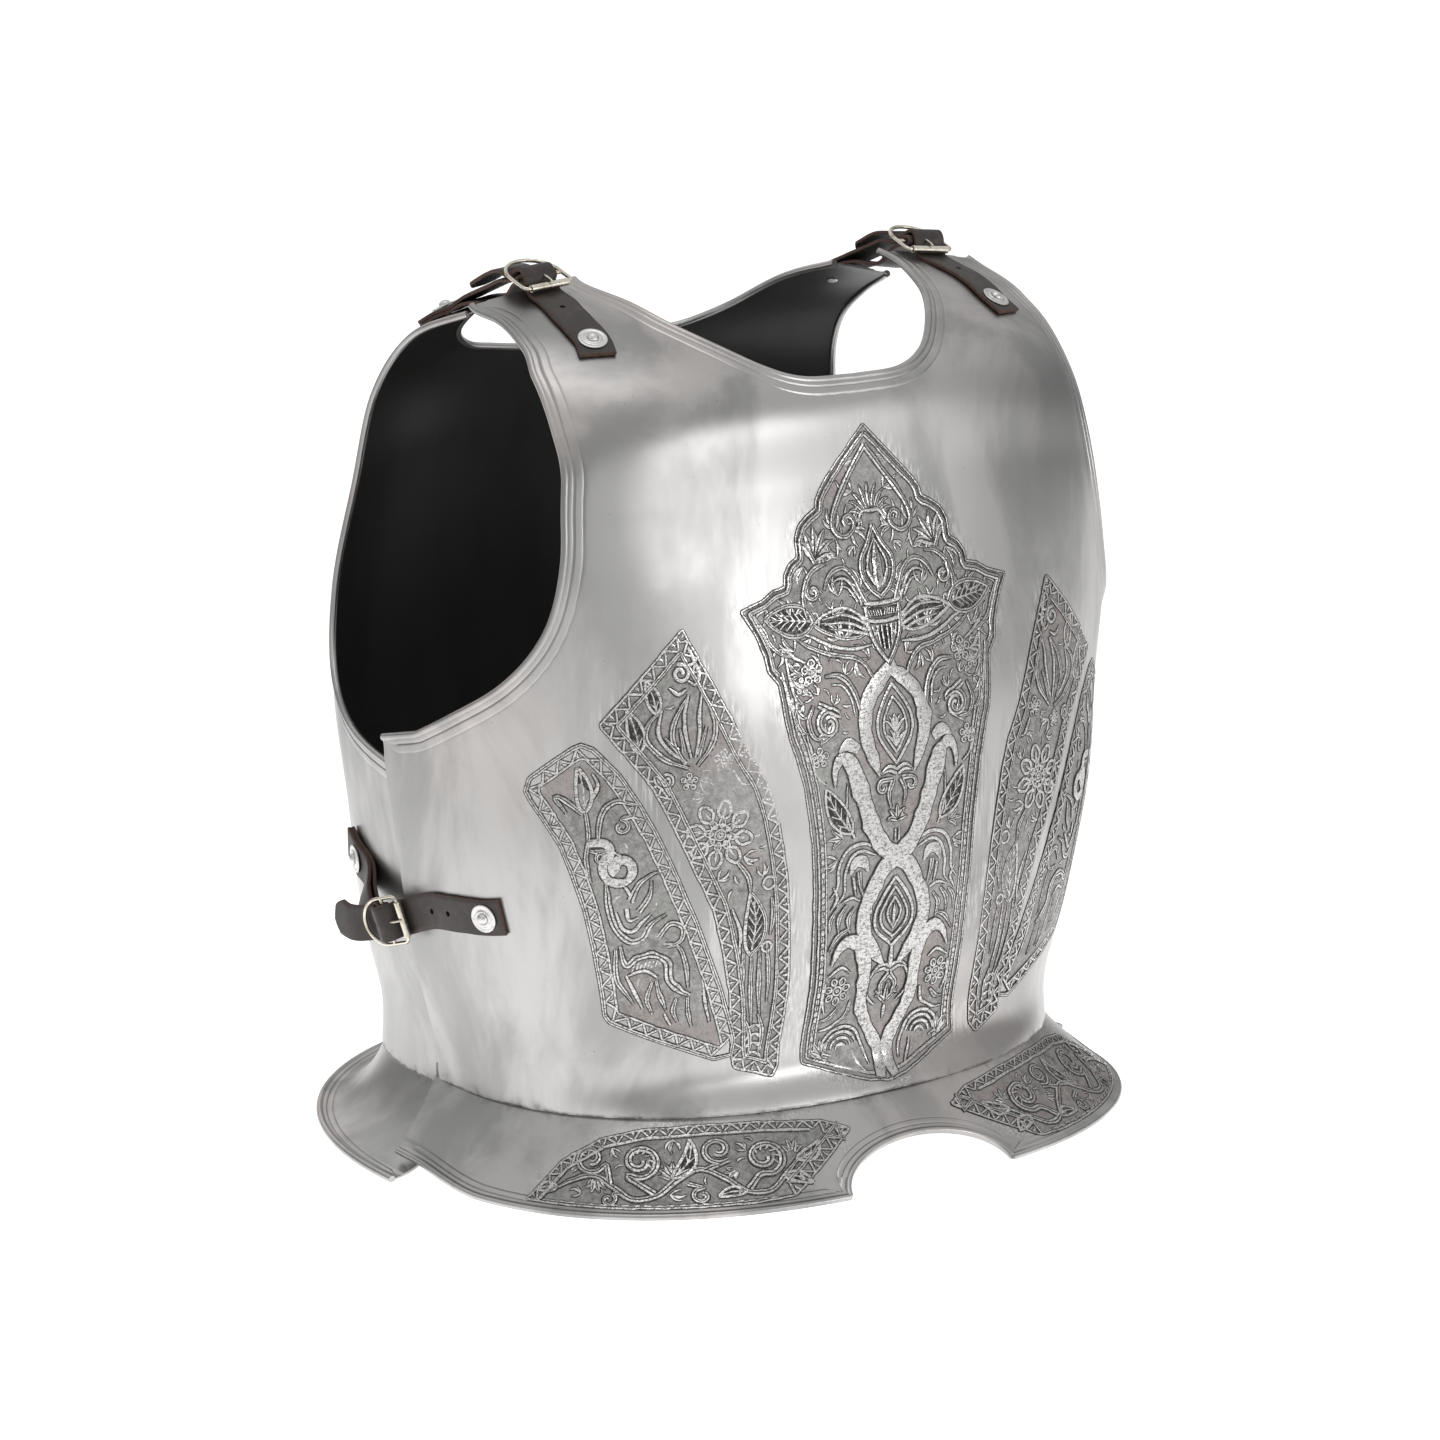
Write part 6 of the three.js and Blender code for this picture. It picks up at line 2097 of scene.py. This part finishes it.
# ---------------------------------------------------------------- studio
@dataclass
class Studio:
    """Pale floor, soft light and the camera."""

    eye: Point = (-1.3740, -1.8620, 0.7383)
    right: Point = (0.8036, -0.5952, 0.0)
    up: Point = (0.1339, 0.1808, 0.9744)
    lens: float = 112.114
    floor_half: float = 15.0
    aim: Point = (0.0, 0.0, 0.25)

    def camera(self) -> None:
        """Place the camera."""
        data = bpy.data.cameras.new("camera")
        data.lens, data.sensor_width, data.clip_end = self.lens, 36, 200
        piece = linked("camera", data)
        right, up = Vector(self.right), Vector(self.up)
        turn = Matrix((right, up, right.cross(up))).transposed()
        piece.matrix_world = Matrix.Translation(self.eye) @ turn.to_4x4()
        bpy.context.scene.camera = piece

    def floor(self) -> None:
        """Lay the floor, which shines most under the cuirass."""
        half = self.floor_half
        mesh = bpy.data.meshes.new("floor")
        corners = [(-half, -half, 0), (half, -half, 0), (half, half, 0), (-half, half, 0)]
        mesh.from_pydata(corners, [], [(0, 1, 2, 3)])
        p = Paint("pale_floor")
        tone = p.blend(p.noise(p.place(), 2, 2), (0.86, 0.86, 0.86), (0.88, 0.88, 0.88))
        near = p.node("ShaderNodeTexGradient", {"gradient_type": "SPHERICAL"},
                      {0: p.stretch(p.place(), 1.3, 1.3, 1.3)}, 1).step(0, 0.6)
        glow = {"Specular IOR Level": 0.1, "Emission Strength": 1.0,
                "Emission Color": p.blend(near, (0.47, 0.47, 0.47), (1, 1, 1))}
        mesh.materials.append(p.close(tone, 0.9, 0, glow))
        linked("floor", mesh)

    def sky(self) -> None:
        """Soft light from all round, brighter above."""
        world = bpy.data.worlds.new("studio")
        world.use_nodes = True
        nodes = Nodes(world.node_tree)
        ways = nodes.node("ShaderNodeTexCoord", {}, {}, "Generated")
        up, left = (nodes.node("ShaderNodeSeparateXYZ", {}, {0: ways}, axis) for axis in (2, 0))
        glow = 0.3 + up.step(0.05, 0.75) * 0.5 + left.step(0.2, -0.9) * 0.05
        shine = nodes.node("ShaderNodeBackground", {}, {"Color": (1, 1, 1, 1), "Strength": glow})
        nodes.node("ShaderNodeOutputWorld", {}, {"Surface": shine})
        bpy.context.scene.world = world

    def lamp(self, name: str, place: Point, size: Point, power: float) -> None:
        """Hang one soft box that faces the cuirass.

        Args:
            name: Its name.
            place: Where it hangs, in metres.
            size: Width and height in metres.
            power: Watts.
        """
        data = bpy.data.lights.new(name, "AREA")
        data.shape, data.size, data.size_y = "RECTANGLE", *size
        data.energy = power
        piece = linked(name, data)
        piece.location = place
        piece.rotation_euler = (Vector(self.aim) - Vector(place)).to_track_quat("-Z", "Y").to_euler()

    def build(self) -> None:
        """Set up everything."""
        self.camera()
        self.floor()
        self.sky()
        self.lamp("top_box", (-0.15, -0.45, 3.0), (1.5, 1.5), 9)
        self.lamp("left_box", (-3.0, -0.4, 1.5), (0.9, 2.2), 3.5)
        self.lamp("right_box", (2.4, -2.4, 1.3), (0.7, 2.0), 1.2)
        self.lamp("back_box", (0.6, 3.0, 1.4), (2.4, 1.6), 6)
        self.lamp("key_box", (0.95, -2.95, 0.74), (1.7, 0.5), 17)
        self.lamp("fill_box", (-0.75, -2.95, 0.8), (0.5, 0.6), 3.2)
        bpy.context.scene.view_settings.view_transform = "Standard"


def main() -> None:
    """Build the cuirass piece by piece."""
    logging.basicConfig(level=logging.INFO, format="%(name)s %(message)s")
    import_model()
    breast, flange = BreastPanels(Chart(BREAST)), FlangePanels(BREAST_FLANGE)
    BodyPlate("breastplate", BREAST, 11, breast).build()
    BodyPlate("backplate", BACK, 12).build()
    WaistFlange("breast_flange", BREAST_FLANGE, 13, flange).build()
    WaistFlange("back_flange", BACK_FLANGE, 14).build()
    breast.build()
    flange.build()
    shoulder_set().build()
    flank_set().build()
    Studio().build()


if __name__ == "__main__":
    main()
